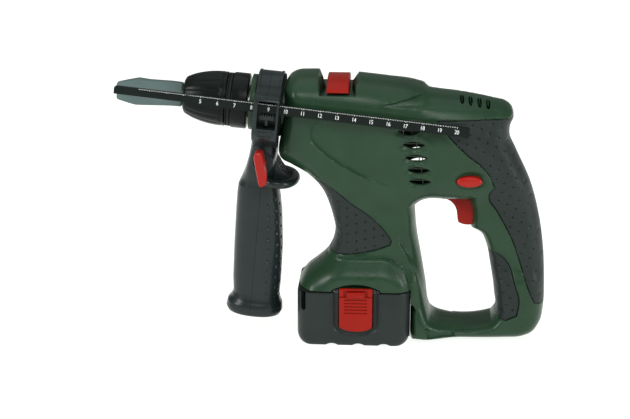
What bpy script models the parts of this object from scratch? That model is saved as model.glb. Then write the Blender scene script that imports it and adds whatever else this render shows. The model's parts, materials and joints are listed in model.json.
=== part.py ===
"""Toy power drill: pistol body with a D-handle, slide-off battery, chuck, side handle and depth rule.

Frame: the origin is the centre of the battery's flat base, on the plane between the two housing
halves. -X points forward, to the bit, -Y is the drill's left and +Z is up. Lengths in this file are
in millimetres, and `add` turns them into metres.
"""

import math

import bmesh
import bpy
import numpy as np
from mathutils import Matrix, Vector
from mathutils.geometry import delaunay_2d_cdt

for old in list(bpy.data.objects):
    bpy.data.objects.remove(old, do_unlink=True)

# ---------------------------------------------------------------- driving dimensions (mm, degrees)
MM = 0.001
GAP = 0.3  # between pieces that touch
SEAM = 0.15  # from the middle plane to each housing half
RIM = 0.2  # straight edge of each half beside the middle plane
WALL = 3.4  # housing wall
SPACING = 13.0  # between the points that carry the body's flat surfaces
LONGEST = 16.0  # between the points along the body's edges
PAD = 1.5  # soft grip thickness

AXIS_TILT = 5.4  # the drill axis rises this much towards the bit
AXIS_HEIGHT = 140.5  # where the axis passes over the origin
RULE_TILT = 6.2  # the rule droops a little in its loose window
RULE_HEIGHT = 143.6
RULE_SIDE = 30.0  # from the middle plane to the rule's middle

BODY_HALF = 24.5  # half width of the motor barrel
REAR_HALF = 18.0  # half width at the rear shoulder
HANDLE_HALF = 14.5  # half width of the D-handle
COLUMN_HALF = 17.5  # half width of the column above the battery
HOOD_HALF = 26.0  # half width of the hood and of the battery

# The body seen from its left: (x, z, radius of the edge there), and the finger loop.
BODY = (
    (-44.0, 145.0, 6), (-42.6, 160.2, 6), (-40.6, 163.7, 7), (-36.4, 165.9, 10), (-28.8, 166.5, 14),
    (-14.0, 165.7, 17), (2.0, 164.5, 17), (18.0, 162.7, 17), (37.2, 159.7, 17), (42.4, 156.7, 16),
    (61.2, 154.0, 15), (81.7, 150.4, 13), (88.6, 148.7, 11), (92.2, 145.6, 10), (93.2, 141.0, 9),
    (91.4, 136.0, 9), (91.2, 129.6, 9), (95.4, 120.1, 10), (104.7, 100.3, 11), (111.0, 78.2, 11),
    (114.3, 58.0, 11), (115.7, 36.3, 11), (115.8, 23.2, 11), (113.9, 11.6, 10), (109.6, 5.2, 9),
    (102.6, 2.2, 8), (90.3, 1.4, 7), (60.0, 1.0, 6), (34.4, 1.0, 2), (34.1, 3.0, 0.6),
    (34.1, 34.6, 0.6), (-35.0, 34.6, 0.6), (-30.9, 41.7, 9), (-25.0, 46.9, 11),
    (-18.6, 53.3, 11), (-14.2, 60.7, 11), (-12.7, 68.6, 11), (-14.2, 77.0, 11), (-17.2, 86.8, 11),
    (-21.1, 95.4, 11), (-28.9, 103.6, 14), (-39.7, 109.8, 19), (-45.2, 112.8, 20), (-45.8, 114.6, 12),
    (-45.7, 129.2, 8),
)
LOOP = (
    (35.5, 85.0, 8), (36.8, 69.9, 8), (39.9, 52.6, 8), (43.0, 35.2, 8), (45.1, 21.0, 7),
    (47.0, 15.6, 6), (50.4, 12.7, 5), (55.7, 11.6, 5), (78.0, 12.0, 5), (83.6, 13.4, 5),
    (86.1, 17.6, 6), (85.4, 29.1, 7), (82.4, 47.4, 7), (79.3, 61.0, 7), (75.8, 68.2, 7),
    (69.9, 71.7, 6), (69.3, 86.0, 5), (67.8, 89.6, 5), (54.0, 89.9, 6), (39.6, 88.4, 7),
)
# Where the soft grips lie, seen from the left. Points outside the body make a grip wrap its edge.
REAR_GRIP = (
    (46.8, 141.8), (100.0, 142.2), (125.0, 100.0), (125.0, 22.0), (108.6, 27.5), (104.9, 35.9),
    (100.1, 49.9), (93.4, 68.2), (84.5, 84.4), (79.2, 93.4), (79.4, 96.4), (82.2, 100.5),
    (80.2, 105.5), (73.4, 114.6), (67.4, 119.4), (56.5, 130.2),
)
INNER_GRIP = (
    (74.0, 57.0), (81.4, 59.0), (87.5, 57.2), (92.4, 52.2), (96.5, 40.7), (100.0, 27.8),
    (98.8, 18.8), (92.0, 15.8), (84.6, 17.8), (76.0, 22.0),
)
FRONT_GRIP = (
    (-36.0, 106.5), (-22.3, 104.2), (-15.2, 100.6), (-2.0, 89.0), (10.1, 79.8), (19.8, 69.3),
    (22.0, 65.5), (21.1, 62.7), (15.1, 60.3), (3.1, 57.2), (-9.0, 56.0), (-24.0, 57.0),
    (-24.0, 80.0), (-36.0, 98.0),
)
# Cooling slots: (x, z) of each middle; the slots lean back as they go down.
VENTS = ((31.2, 135.2), (34.2, 127.2), (35.8, 119.4), (37.3, 111.9), (38.2, 104.9))
VENT_LENGTH = 13.3
VENT_HEIGHT = 4.3
BUTTON = (67.3, 105.0)  # direction button, right through the body
BUTTON_HALF = (7.6, 3.3)
BUTTON_REACH = 24.2  # from the middle plane to each end of the button
SWITCH = (-17.5, -4.5)  # front and rear ends of the mode switch in X
SWITCH_FLOOR = 155.6  # floor of the notch it slides in
SADDLE = (  # (y, z) round the mode switch, which straddles the top
    (-20.2, 156.0), (-20.9, 157.4), (-18.8, 159.6), (-14.4, 161.8), (-8.6, 163.4), (-3.0, 164.0), (3.0, 164.0),
    (8.6, 163.4), (14.4, 161.8), (18.8, 159.6), (20.9, 157.4), (20.2, 156.0),
)
SCREWS = ((-37.0, 116.5), (56.0, 146.5), (52.0, 106.0), (2.0, 72.0), (99.0, 46.0))
SCREW_LENGTH = 18.0
HEAD_RADIUS = 2.8
SHANK_RADIUS = 1.4

# Along the drill axis, measured forward from the point over the origin.
NOSE = 44.4  # front face of the body
COLLAR = (45.4, 60.4)  # side handle's clamp
FLANGE = (60.8, 64.2)
CHUCK_RING = (65.6, 75.2)
CHUCK_SLEEVE = (78.5, 104.0)
NECK_RADIUS = 15.4
FLANGE_RADIUS = 16.8
COLLAR_RADIUS = 20.3
CHUCK_RADIUS = 16.7
SPINDLE_RADIUS = 4.0
IDLER_OFFSET = 10.0  # idler axle below the drill axis
GEAR_MODULE = 0.8
MOTOR_TEETH = 7
WHEEL_TEETH = 18
SMALL_TEETH = 8
OUTPUT_TEETH = 17

BATTERY = (-35.0, 33.6)  # front and rear limits in X
BATTERY_TOP = 31.4
CELL_RADIUS = 7.2
CELL_LENGTH = 50.0
LATCH = (-9.2, 10.9)
TRIGGER_HALF = 6.5
HANDLE_SEAM = 52.8  # parting plane of the side handle, across the drill axis


# ---------------------------------------------------------------- materials and objects
def material(name, colour, roughness, metallic=0.0):
    made = bpy.data.materials.new(name)
    made.use_nodes = True
    shader = made.node_tree.nodes["Principled BSDF"]
    shader.inputs["Base Color"].default_value = (*colour, 1.0)
    shader.inputs["Roughness"].default_value = roughness
    shader.inputs["Metallic"].default_value = metallic
    return made


GREEN = material("green_plastic", (0.018, 0.052, 0.026), 0.42)
SOFT = material("soft_grip", (0.032, 0.040, 0.038), 0.75)
BLACK = material("black_plastic", (0.011, 0.013, 0.012), 0.32)
RED = material("red_plastic", (0.50, 0.018, 0.010), 0.38)
GREY = material("grey_plastic", (0.17, 0.21, 0.20), 0.45)
WHITE = material("white_nylon", (0.75, 0.74, 0.70), 0.5)
STEEL = material("steel", (0.55, 0.56, 0.57), 0.3, 1.0)
BRASS = material("brass", (0.70, 0.52, 0.22), 0.35, 1.0)
COPPER = material("copper_winding", (0.60, 0.27, 0.13), 0.4, 1.0)
BOARD = material("circuit_board", (0.04, 0.20, 0.08), 0.5)
CELL = material("cell_wrap", (0.06, 0.10, 0.22), 0.35)

DRILL = bpy.data.objects.new("drill_axis", None)
RULE = bpy.data.objects.new("rule_axis", None)
for empty in (DRILL, RULE):
    bpy.context.scene.collection.objects.link(empty)
# In the drill's frame +X is down, +Y is to the left of the drill and +Z runs forward to the bit.
tilt = math.radians(AXIS_TILT)
forward = Vector((-math.cos(tilt), 0, math.sin(tilt)))
down = Vector((-math.sin(tilt), 0, -math.cos(tilt)))
left = Vector((0, -1, 0))
DRILL.matrix_world = Matrix.Translation((0, 0, AXIS_HEIGHT * MM)) @ Matrix(
    (down, left, forward)
).transposed().to_4x4()
# In the rule's frame +X runs to the rear along the rule and +Z is up.
RULE.location = (0, -RULE_SIDE * MM, RULE_HEIGHT * MM)
RULE.rotation_euler = (0, math.radians(RULE_TILT), 0)


def add(name, bm, surface, origin=(0, 0, 0), parent=None):
    """An object from a bmesh drawn in millimetres, with its own origin at `origin`."""
    bmesh.ops.translate(bm, verts=bm.verts, vec=-Vector(origin))
    bmesh.ops.scale(bm, verts=bm.verts, vec=(MM, MM, MM))
    bmesh.ops.recalc_face_normals(bm, faces=bm.faces)
    mesh = bpy.data.meshes.new(name)
    bm.to_mesh(mesh)
    bm.free()
    mesh.materials.append(surface)
    mesh.shade_smooth()
    mesh.set_sharp_from_angle(angle=math.radians(35))
    made = bpy.data.objects.new(name, mesh)
    bpy.context.scene.collection.objects.link(made)
    made.location = Vector(origin) * MM
    made.parent = parent
    return made


def helper(name, bm, parent=None):
    """An object that only cuts, joins or trims another one."""
    made = add(name, bm, GREY, parent=parent)
    made.hide_render = True
    made.display_type = "WIRE"
    return made


CHAIN = "MANIFOLD"  # the solver for long chains of cuts; the exact one left open edges in the side handle


def boolean(made, other, operation, solver="EXACT"):
    step = made.modifiers.new(f"{operation.lower()} {other.name}", "BOOLEAN")
    step.operation = operation
    step.object = other
    step.solver = solver


def cut(made, *others, solver="EXACT"):
    for other in others:
        boolean(made, other, "DIFFERENCE", solver)


def join(made, *others, solver="EXACT"):
    for other in others:
        boolean(made, other, "UNION", solver)


# ---------------------------------------------------------------- shapes
def turned(profile, segments=24):
    """A profile of (radius, height) points turned about Z. One that starts off the axis is a ring."""
    bm = bmesh.new()
    rings = []
    for radius, height in profile:
        if radius == 0:
            rings.append([bm.verts.new((0, 0, height))] * segments)
            continue
        angles = [2 * math.pi * i / segments for i in range(segments)]
        rings.append([bm.verts.new((radius * math.cos(a), radius * math.sin(a), height)) for a in angles])
    pairs = list(zip(rings, rings[1:]))
    if profile[0][0] > 0:
        pairs.append((rings[-1], rings[0]))
    for low, high in pairs:
        for i in range(segments):
            j = (i + 1) % segments
            corners = list(dict.fromkeys((low[i], low[j], high[j], high[i])))
            if len(corners) > 2:
                bm.faces.new(corners)
    return bm


def rod(radius, low, high, segments=16):
    return turned(((0, low), (radius, low), (radius, high), (0, high)), segments)


def tube(inner, outer, low, high, segments=24):
    return turned(((inner, low), (outer, low), (outer, high), (inner, high)), segments)


def across(bm, x, z):
    """Turns a bmesh drawn about Z so that it lies about the line along Y through (x, z)."""
    bmesh.ops.rotate(bm, verts=bm.verts, matrix=Matrix.Rotation(math.radians(90), 3, "X"))
    bmesh.ops.translate(bm, verts=bm.verts, vec=(x, 0, z))
    return bm


def block(low, high, bevel=0.0, segments=2):
    bm = bmesh.new()
    bmesh.ops.create_cube(bm, size=1)
    low, high = Vector(low), Vector(high)
    bmesh.ops.scale(bm, verts=bm.verts, vec=high - low)
    bmesh.ops.translate(bm, verts=bm.verts, vec=(low + high) / 2)
    if bevel:
        bmesh.ops.bevel(bm, geom=bm.edges[:], offset=bevel, segments=segments, profile=0.5, affect="EDGES")
    return bm


def filled(loops, spots=()):
    """Triangles that fill an outline through the spots inside it, leaving the later loops open."""
    points = []
    edges = []
    for loop in loops:
        first = len(points)
        points += [Vector(p[:2]) for p in loop]
        edges += [(first + i, first + (i + 1) % len(loop)) for i in range(len(loop))]
    points += [Vector(p[:2]) for p in spots]
    faces = delaunay_2d_cdt(points, edges, [], 1, 1e-6)[2]
    middles = np.array([sum((points[i] for i in face), Vector((0, 0))) / 3 for face in faces])
    keep = inside(middles, loops[0])
    for hole in loops[1:]:
        keep &= ~inside(middles, hole)
    return [face for face, kept in zip(faces, keep) if kept]


def plate(loops, low, high, plane="XY", inset=0.0, sink=0.0):
    """Outlines swept from low to high across their plane; the high face may be inset as it nears."""
    order = {"XY": (0, 1, 2), "XZ": (0, 2, 1), "YZ": (2, 0, 1)}[plane]

    def place(u, v, w):
        return tuple((u, v, w)[i] for i in order)

    bm = bmesh.new()
    levels = [(low, loops)]
    if inset:
        levels.append((high - sink, loops))
        levels.append((high, [shrunk(loop, inset) for loop in loops]))
    else:
        levels.append((high, loops))
    rows = []
    for height, level in levels:
        rows.append([[bm.verts.new(place(p[0], p[1], height)) for p in loop] for loop in level])
    for row, (_, level) in ((rows[0], levels[0]), (rows[-1], levels[-1])):
        flat = [v for loop in row for v in loop]
        faces = filled(level) if len(level) > 1 else [range(len(flat))]
        for face in faces:
            bm.faces.new([flat[i] for i in face])
    for lower, upper in zip(rows, rows[1:]):
        for a, b in zip(lower, upper):
            for i in range(len(a)):
                j = (i + 1) % len(a)
                bm.faces.new((a[i], a[j], b[j], b[i]))
    return bm


def area(loop):
    return sum(a[0] * b[1] - b[0] * a[1] for a, b in zip(loop, (*loop[1:], loop[0]))) / 2


def shrunk(loop, distance):
    """The loop moved inwards by `distance`, or outwards when it is negative; a third value is kept."""
    turn = 1 if area(loop) > 0 else -1
    moved = []
    count = len(loop)
    for i, point in enumerate(loop):
        before, here, after = (Vector(loop[k % count][:2]) for k in (i - 1, i, i + 1))
        into = (here - before).normalized()
        out = (after - here).normalized()
        normal = Vector((-(into + out).y, (into + out).x)).normalized() * turn
        reach = max(0.5, normal.dot(Vector((-into.y, into.x)) * turn))
        spot = here + normal * (distance / reach)
        moved.append((spot.x, spot.y, *point[2:]))
    return moved


def arc(centre, radii, start, end, count):
    """Points along part of an ellipse, with the angles in degrees."""
    spots = []
    for i in range(count):
        angle = math.radians(start + (end - start) * i / (count - 1))
        spots.append((centre[0] + radii[0] * math.cos(angle), centre[1] + radii[1] * math.sin(angle)))
    return spots


def ellipse(centre, radii, count=12, lean=0.0):
    turn = Matrix.Rotation(math.radians(lean), 2)
    spots = []
    for i in range(count):
        angle = 2 * math.pi * i / count
        spot = turn @ Vector((radii[0] * math.cos(angle), radii[1] * math.sin(angle)))
        spots.append((centre[0] + spot.x, centre[1] + spot.y))
    return spots


def rounded(low, high, radius, steps=4):
    """A rectangle with round corners."""
    corners = (
        (high[0] - radius, high[1] - radius, 0), (low[0] + radius, high[1] - radius, 90),
        (low[0] + radius, low[1] + radius, 180), (high[0] - radius, low[1] + radius, 270),
    )
    return [p for x, y, start in corners for p in arc((x, y), (radius, radius), start, start + 90, steps)]


def gear(teeth, bore=None, turn=0.0):
    """The outline of a spur gear about (0, 0), turned by a share of a tooth, and its bore."""
    pitch = GEAR_MODULE * teeth / 2
    step = 2 * math.pi / teeth
    shape = ((pitch - 0.75, 0.29), (pitch + 0.45, 0.12))  # (radius, half tooth as a share of a step)
    outline = []
    for i in range(teeth):
        for radius, share in (shape[0], shape[1]):
            outline.append((radius, (i + turn - share) * step))
        for radius, share in (shape[1], shape[0]):
            outline.append((radius, (i + turn + share) * step))
    loops = [[(r * math.cos(a), r * math.sin(a)) for r, a in outline]]
    if bore:
        loops.append(ellipse((0, 0), (bore, bore), 16))
    return loops


def loft(sections, segments=16, square=2.4):
    """Rounded sections (x, y radius, z middle, z radius) joined along X, closed at both ends."""
    bm = bmesh.new()
    rings = []
    for x, across_y, middle, across_z in sections:
        ring = []
        for i in range(segments):
            angle = 2 * math.pi * i / segments
            cos, sin = math.cos(angle), math.sin(angle)
            grow = (abs(cos) ** square + abs(sin) ** square) ** (-1 / square)
            ring.append(bm.verts.new((x, across_y * cos * grow, middle + across_z * sin * grow)))
        rings.append(ring)
    bm.faces.new(rings[0])
    bm.faces.new(rings[-1])
    for low, high in zip(rings, rings[1:]):
        for i in range(segments):
            j = (i + 1) % segments
            bm.faces.new((low[i], low[j], high[j]))
            bm.faces.new((low[i], high[j], high[i]))
    return bm


# ---------------------------------------------------------------- body surface
def smooth(share):
    share = np.clip(share, 0, 1)
    return share * share * (3 - 2 * share)


def half_width(x, z):
    """Half the body's width at (x, z), away from its rounded edges."""
    column = COLUMN_HALF + (BODY_HALF - COLUMN_HALF) * smooth((z - 80) / 28)
    shoulder = BODY_HALF - (BODY_HALF - REAR_HALF) * smooth((x - 50) / 45)
    handle = HANDLE_HALF + (shoulder - HANDLE_HALF) * smooth((z - 84) / 20)
    plain = column + (handle - column) * smooth((x - 30) / 16)
    hood = smooth((57 - z) / 9) * smooth((35 - x) / 7)
    return plain + (HOOD_HALF - plain) * hood


def edge_share(spots, loops):
    """The distance of each spot to the nearest edge, as a share of that edge's radius."""
    nearest = np.full(len(spots), np.inf)
    for loop in loops:
        start = np.array(loop)
        end = np.roll(start, -1, axis=0)
        span = (end - start)[:, :2]
        along = ((spots[:, None] - start[:, :2]) * span).sum(2) / (span * span).sum(1)
        along = np.clip(along, 0, 1)
        closest = start[:, :2] + along[..., None] * span
        distance = np.linalg.norm(spots[:, None] - closest, axis=2)
        radius = start[:, 2] + along * (end - start)[:, 2]
        nearest = np.minimum(nearest, (distance / radius).min(1))
    return nearest


def inside(spots, loop):
    """Whether each spot lies inside the loop."""
    start = np.array(loop)[:, :2]
    end = np.roll(start, -1, axis=0)
    x, z = spots[:, 0, None], spots[:, 1, None]
    spans = (start[:, 1] > z) != (end[:, 1] > z)
    rise = np.where(end[:, 1] == start[:, 1], 1, end[:, 1] - start[:, 1])
    crossing = start[:, 0] + (z - start[:, 1]) / rise * (end[:, 0] - start[:, 0])
    return (spans & (x < crossing)).sum(1) % 2 == 1


def spaced(loop):
    """The loop with points added along its long edges."""
    points = []
    for p, q in zip(loop, (*loop[1:], loop[0])):
        count = math.ceil(math.dist(p[:2], q[:2]) / LONGEST)
        points += [tuple(a + (b - a) * i / count for a, b in zip(p, q)) for i in range(count)]
    return points


def body_half(side, inset, holes=(), rings=(0.13, 0.45), start=SEAM):
    """A closed solid from y `start` to `inset` under the body's surface. side -1 is the left."""
    loops = []
    for loop, distance in ((BODY, inset), (LOOP, -inset)):
        apart = [p for p, q in zip(loop, (*loop[1:], loop[0])) if math.dist(p[:2], q[:2]) > 0.9 * inset]
        loops.append(spaced([(x, z, max(r - inset, 0.5)) for x, z, r in shrunk(apart, distance)]))
    spots = []
    for loop, sign in zip(loops, (1, -1)):
        step = shrunk(loop, sign)  # one millimetre further into the solid
        for share in rings:
            ring = []
            for (x, z, radius), (step_x, step_z, _) in zip(loop, step):
                ring.append((x + (step_x - x) * radius * share, z + (step_z - z) * radius * share))
            ring = np.array(ring)
            spots.append(ring[np.abs(edge_share(ring, loops) - share) < 0.25 * share])
    xs = np.arange(-45, 118, SPACING)
    zs = np.arange(5, 168, SPACING)
    even = [(x + (row % 2) * SPACING / 2, z) for row, z in enumerate(zs) for x in xs]
    hood_edge = [(x, z) for x in (28.0, 35.6) for z in (39, 45, 51, 57.5)]
    hood_edge += [(x, z) for z in (48, 57.5) for x in (-16, -7, 2, 11, 20)]
    even = np.array(even + hood_edge)
    keep = inside(even, loops[0]) & ~inside(even, loops[1]) & (edge_share(even, loops) > 0.75)
    spots = np.concatenate([*spots, even[keep]])
    outlines = [*loops, *holes]
    for hole in holes:
        ring = [(x, z, 1.5) for x, z in hole]
        spots = spots[~inside(spots, hole) & (edge_share(spots, [ring]) > 1)]
    flat = [p[:2] for loop in outlines for p in loop]
    everything = np.array([*flat, *spots.tolist()])
    share = np.clip(edge_share(everything, loops), 0, 1)
    round_off = (1 - (1 - share) ** 2.2) ** (1 / 2.2)
    widths = half_width(everything[:, 0], everything[:, 1]) - inset
    depth = SEAM + RIM + (widths - SEAM - RIM) * round_off
    bm = bmesh.new()
    seam = [bm.verts.new((x, side * start, z)) for x, z in flat]
    skin = [bm.verts.new((x, side * y, z)) for (x, z), y in zip(everything, depth)]
    for face in filled(outlines):
        bm.faces.new([seam[i] for i in face])
    for face in filled(outlines, spots):
        bm.faces.new([skin[i] for i in face])
    first = 0
    for outline in outlines:
        for i in range(len(outline)):
            a, b = first + i, first + (i + 1) % len(outline)
            bm.faces.new((seam[a], seam[b], skin[b], skin[a]))
        first += len(outline)
    return bm


def vent_outline(x, z):
    """An almond slot."""
    half, high = VENT_LENGTH / 2, VENT_HEIGHT / 2
    top = [(x - half + VENT_LENGTH * t, z + 4 * high * t * (1 - t)) for t in (0, 0.25, 0.5, 0.75)]
    bottom = [(x + half - VENT_LENGTH * t, z - 4 * high * t * (1 - t)) for t in (0, 0.25, 0.5, 0.75)]
    return top + bottom


# ---------------------------------------------------------------- housing and soft grips
def housing(side, word):
    """One housing half with its openings, grip recesses, screw bosses, and its three soft grips."""
    holes = [vent_outline(*vent) for vent in VENTS]
    holes.append(ellipse(BUTTON, (BUTTON_HALF[0] + GAP, BUTTON_HALF[1] + GAP), 14))
    shell = add(f"housing_{word}", body_half(side, 0, holes), GREEN)
    under = helper(f"grip_bed_{word}", body_half(side, PAD + GAP, rings=(0.25,), start=-4))
    back = helper(f"grip_back_{word}", body_half(side, PAD, rings=(0.25,), start=-4))
    room = helper(f"cavity_{word}", body_half(side, WALL, rings=(0.3,), start=-4))
    reach = (side * 30, side * -2) if side < 0 else (-2, 30)
    for grip, outline in (("rear", REAR_GRIP), ("inner", INNER_GRIP), ("front", FRONT_GRIP)):
        wider = helper(f"{grip}_recess_{word}", plate([shrunk(outline, -GAP)], *reach, "XZ"))
        cut(wider, under)
        cut(shell, wider, solver=CHAIN)
        pad = add(f"{grip}_grip_{word}", body_half(side, 0), SOFT)
        boolean(pad, helper(f"{grip}_trim_{word}", plate([outline], *reach, "XZ")), "INTERSECT")
        cut(pad, back)
    cut(shell, room, solver=CHAIN)
    for index, (x, z) in enumerate(SCREWS, 1):
        depth = float(half_width(x, z)) - WALL + 0.5
        low, high = sorted((side * SEAM, side * depth))
        join(shell, helper(f"boss_{word}_{index}", across(rod(3.4, -high, -low, 10), x, z)), solver=CHAIN)
    for index, (x, z) in enumerate(SCREWS, 1):
        if side > 0:
            deep = float(half_width(x, z))
            bore = rod(SHANK_RADIUS + GAP, -deep, 1, 10)
            head = across(rod(HEAD_RADIUS + GAP, -deep - 2, -SCREW_LENGTH / 2 + GAP, 12), x, z)
            cut(shell, helper(f"sink_{word}_{index}", head), solver=CHAIN)
        else:
            bore = rod(SHANK_RADIUS + GAP, -1, SCREW_LENGTH / 2 + 0.6, 10)
        cut(shell, helper(f"bore_{word}_{index}", across(bore, x, z)), solver=CHAIN)
    return shell


def opening(name, bm, parent=None):
    """A cut through both housing halves."""
    cutter = helper(name, bm, parent)
    cut(left_half, cutter, solver=CHAIN)
    cut(right_half, cutter, solver=CHAIN)


left_half = housing(-1, "left")
right_half = housing(1, "right")
opening("nose_bore", rod(NECK_RADIUS + GAP, 30, 50, 24), DRILL)
opening("switch_notch", block((SWITCH[0] - 1.7, -30, SWITCH_FLOOR), (SWITCH[1] + 1.7, 30, 172)))
opening("trigger_slot", block((66, -TRIGGER_HALF - 0.4, 73.6), (79, TRIGGER_HALF + 0.4, 90.2)))
opening("terminal_port", block((-14.5, -11.5, 30), (15.5, 11.5, 52)))
for word, low, high in (("left", -30, -21.6), ("right", 21.6, 30)):
    ear = plate([rounded((-11.4, 28), (13.1, 40.6), 4)], low, high, "XZ")
    half = left_half if word == "left" else right_half
    cut(half, helper(f"latch_port_{word}", ear), solver=CHAIN)
for index, (x, z) in enumerate(SCREWS, 1):
    head_end = -SCREW_LENGTH / 2
    profile = (
        (0, head_end - 2.4), (HEAD_RADIUS, head_end - 2.4), (HEAD_RADIUS, head_end),
        (SHANK_RADIUS, head_end), (SHANK_RADIUS, -head_end), (0, -head_end),
    )
    add(f"housing_screw_{index}", across(turned(profile, 10), x, z), STEEL)

# ---------------------------------------------------------------- nose, gearbox and motor (on the drill axis)
add(
    "front_neck",
    turned((
        (9.2, 35.0), (16.3, 35.0), (16.3, 38.2), (NECK_RADIUS, 38.2), (NECK_RADIUS, FLANGE[0]),
        (FLANGE_RADIUS, FLANGE[0]), (FLANGE_RADIUS, FLANGE[1] - 0.6), (FLANGE_RADIUS - 0.6, FLANGE[1]),
        (9.2, FLANGE[1]),
    )),
    GREEN, parent=DRILL,
)
add("front_bearing", tube(SPINDLE_RADIUS + 0.3, 8.9, 52, 58), BRASS, parent=DRILL)
add("rear_bearing", tube(SPINDLE_RADIUS + 0.3, 6.2, 28.4, 33.2), BRASS, parent=DRILL)

CASE_WALL = 1.6
CASE_RADIUS = 9.6  # inside, round each gear axis


def stadium(radius):
    """Round both gear axes: the drill axis and the idler axle under it."""
    upper = arc((0, 0), (radius, radius), 90, 270, 10)
    lower = arc((IDLER_OFFSET, 0), (radius, radius), -90, 90, 10)
    return upper + lower


gearbox = add("gearbox_case", plate([stadium(CASE_RADIUS + CASE_WALL)], 8.2, 34.6), GREY, parent=DRILL)
cut(gearbox, helper("gearbox_room", plate([stadium(CASE_RADIUS)], 6, 28.0), DRILL))
cut(gearbox, helper("gearbox_front", rod(6.5, 26, 40, 20), DRILL))
motor_plate = add("motor_plate", plate([stadium(CASE_RADIUS + CASE_WALL)], 5.6, 7.9), GREY, parent=DRILL)
cut(motor_plate, helper("plate_bore", rod(3.4, 4, 10), DRILL))
axle_end = plate([ellipse((IDLER_OFFSET, 0), (1.4, 1.4), 12)], 4, 30)
axle_bore = helper("axle_bore", axle_end, DRILL)
cut(motor_plate, axle_bore)
axle_seat = helper("axle_seat", plate([ellipse((IDLER_OFFSET, 0), (1.4, 1.4), 12)], 26, 32.4), DRILL)
cut(gearbox, axle_seat)
add("idler_axle", plate([ellipse((IDLER_OFFSET, 0), (1.1, 1.1), 12)], 6, 32), STEEL, parent=DRILL)

MOTOR = (-26.0, 5.2)  # can, from its open rear to its front face
MOTOR_RADIUS = 12.0
add(
    "motor_can",
    turned((
        (11.2, MOTOR[0]), (MOTOR_RADIUS, MOTOR[0]), (MOTOR_RADIUS, MOTOR[1]), (1.6, MOTOR[1]),
        (1.6, MOTOR[1] - 0.9), (11.2, MOTOR[1] - 0.9),
    ), 28),
    STEEL, parent=DRILL,
)
cap = turned(((1.6, -29.5), (8.0, -29.5), (MOTOR_RADIUS, -28.4), (MOTOR_RADIUS, -26.3), (1.6, -26.3)), 28)
add("motor_end_cap", cap, WHITE, parent=DRILL)
add("motor_shaft", rod(1.0, -31.0, 16.2, 12), STEEL, parent=DRILL)
add("motor_armature", tube(1.3, 9.6, -21.0, 0.0, 20), COPPER, parent=DRILL)
for word, start in (("left", 30), ("right", 210)):
    magnet = arc((0, 0), (11.0, 11.0), start, start + 120, 9)
    magnet += arc((0, 0), (10.0, 10.0), start + 120, start, 9)
    add(f"motor_magnet_{word}", plate([magnet], -22, 1), GREY, parent=DRILL)
add("motor_pinion", plate(gear(MOTOR_TEETH, 1.3), 11.4, 16.0), BRASS, parent=DRILL)
# Both of the idler's gears turn a gap towards the drill axis, where the pinion and the output have a tooth.
idler = add("idler_gear", plate(gear(WHEEL_TEETH, turn=0.5), 11.6, 15.8), WHITE, parent=DRILL)
idler.location.x = IDLER_OFFSET * MM
small = helper("idler_small_gear", plate(gear(SMALL_TEETH, turn=0.5), 15.0, 26.4), idler)
join(idler, small)
cut(idler, helper("idler_bore", rod(1.4, 10, 28, 12), idler))
add("output_gear", plate(gear(OUTPUT_TEETH, SPINDLE_RADIUS + 0.3), 20.0, 26.0), WHITE, parent=DRILL)

# ---------------------------------------------------------------- spindle, chuck and bit
add(
    "spindle",
    turned((
        (0, 18.0), (SPINDLE_RADIUS, 18.0), (SPINDLE_RADIUS, 59.0), (6.0, 59.0), (6.0, 65.4),
        (SPINDLE_RADIUS, 65.4), (SPINDLE_RADIUS, 88.0), (0, 88.0),
    ), 20),
    STEEL, parent=DRILL,
)
CORE = 10.0
add(
    "chuck_core",
    turned((
        (4.3, 65.8), (CORE, 65.8), (CORE, 75.5), (15.4, 75.5), (15.4, 78.2), (CORE, 78.2),
        (CORE, 101.0), (8.6, 104.6), (4.3, 104.6),
    )),
    BLACK, parent=DRILL,
)
ring_low, ring_high = CHUCK_RING
add(
    "chuck_ring",
    turned((
        (CORE + 0.3, ring_low), (CHUCK_RADIUS - 0.6, ring_low), (CHUCK_RADIUS, ring_low + 0.6),
        (CHUCK_RADIUS, ring_high - 0.6), (CHUCK_RADIUS - 0.6, ring_high), (CORE + 0.3, ring_high),
    )),
    BLACK, parent=DRILL,
)
add(
    "chuck_sleeve",
    turned((
        (CORE + 0.3, 78.5), (16.0, 78.5), (16.5, 79.1), (16.2, 85.0), (15.5, 90.0), (14.3, 95.5),
        (12.6, 100.4), (10.9, 103.3), (CORE + 0.3, CHUCK_SLEEVE[1]),
    )),
    BLACK, parent=DRILL,
)
BIT_START = 88.6
blade = (
    (-6.9, 105.2), (-7.1, 110.0), (-6.0, 118.0), (-6.4, 126.0), (-7.4, 131.0), (-7.2, 134.0), (-5.0, 145.6),
    (7.0, 144.9), (9.0, 133.6), (8.6, 130.0), (7.2, 122.0), (7.2, 112.0), (7.3, 105.2),
)
bit = add("blade_bit", rod(3.9, BIT_START, 108.0, 12), GREY, parent=DRILL)
flat_blade = plate([blade], -3.2, 3.2, "YZ")
bmesh.ops.rotate(flat_blade, verts=flat_blade.verts, matrix=Matrix.Rotation(math.radians(-90), 3, "Z"))
tip = helper("bit_blade", flat_blade, DRILL)
join(bit, tip)
for word, sign in (("left", 1), ("right", -1)):
    bevel = [(3.4 * sign, 131.0), (0.7 * sign, 147.0), (5 * sign, 147.0), (5 * sign, 131.0)]
    wedge = plate([bevel], -12, 12, "YZ")
    cut(bit, helper(f"bit_bevel_{word}", wedge, DRILL))

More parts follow.
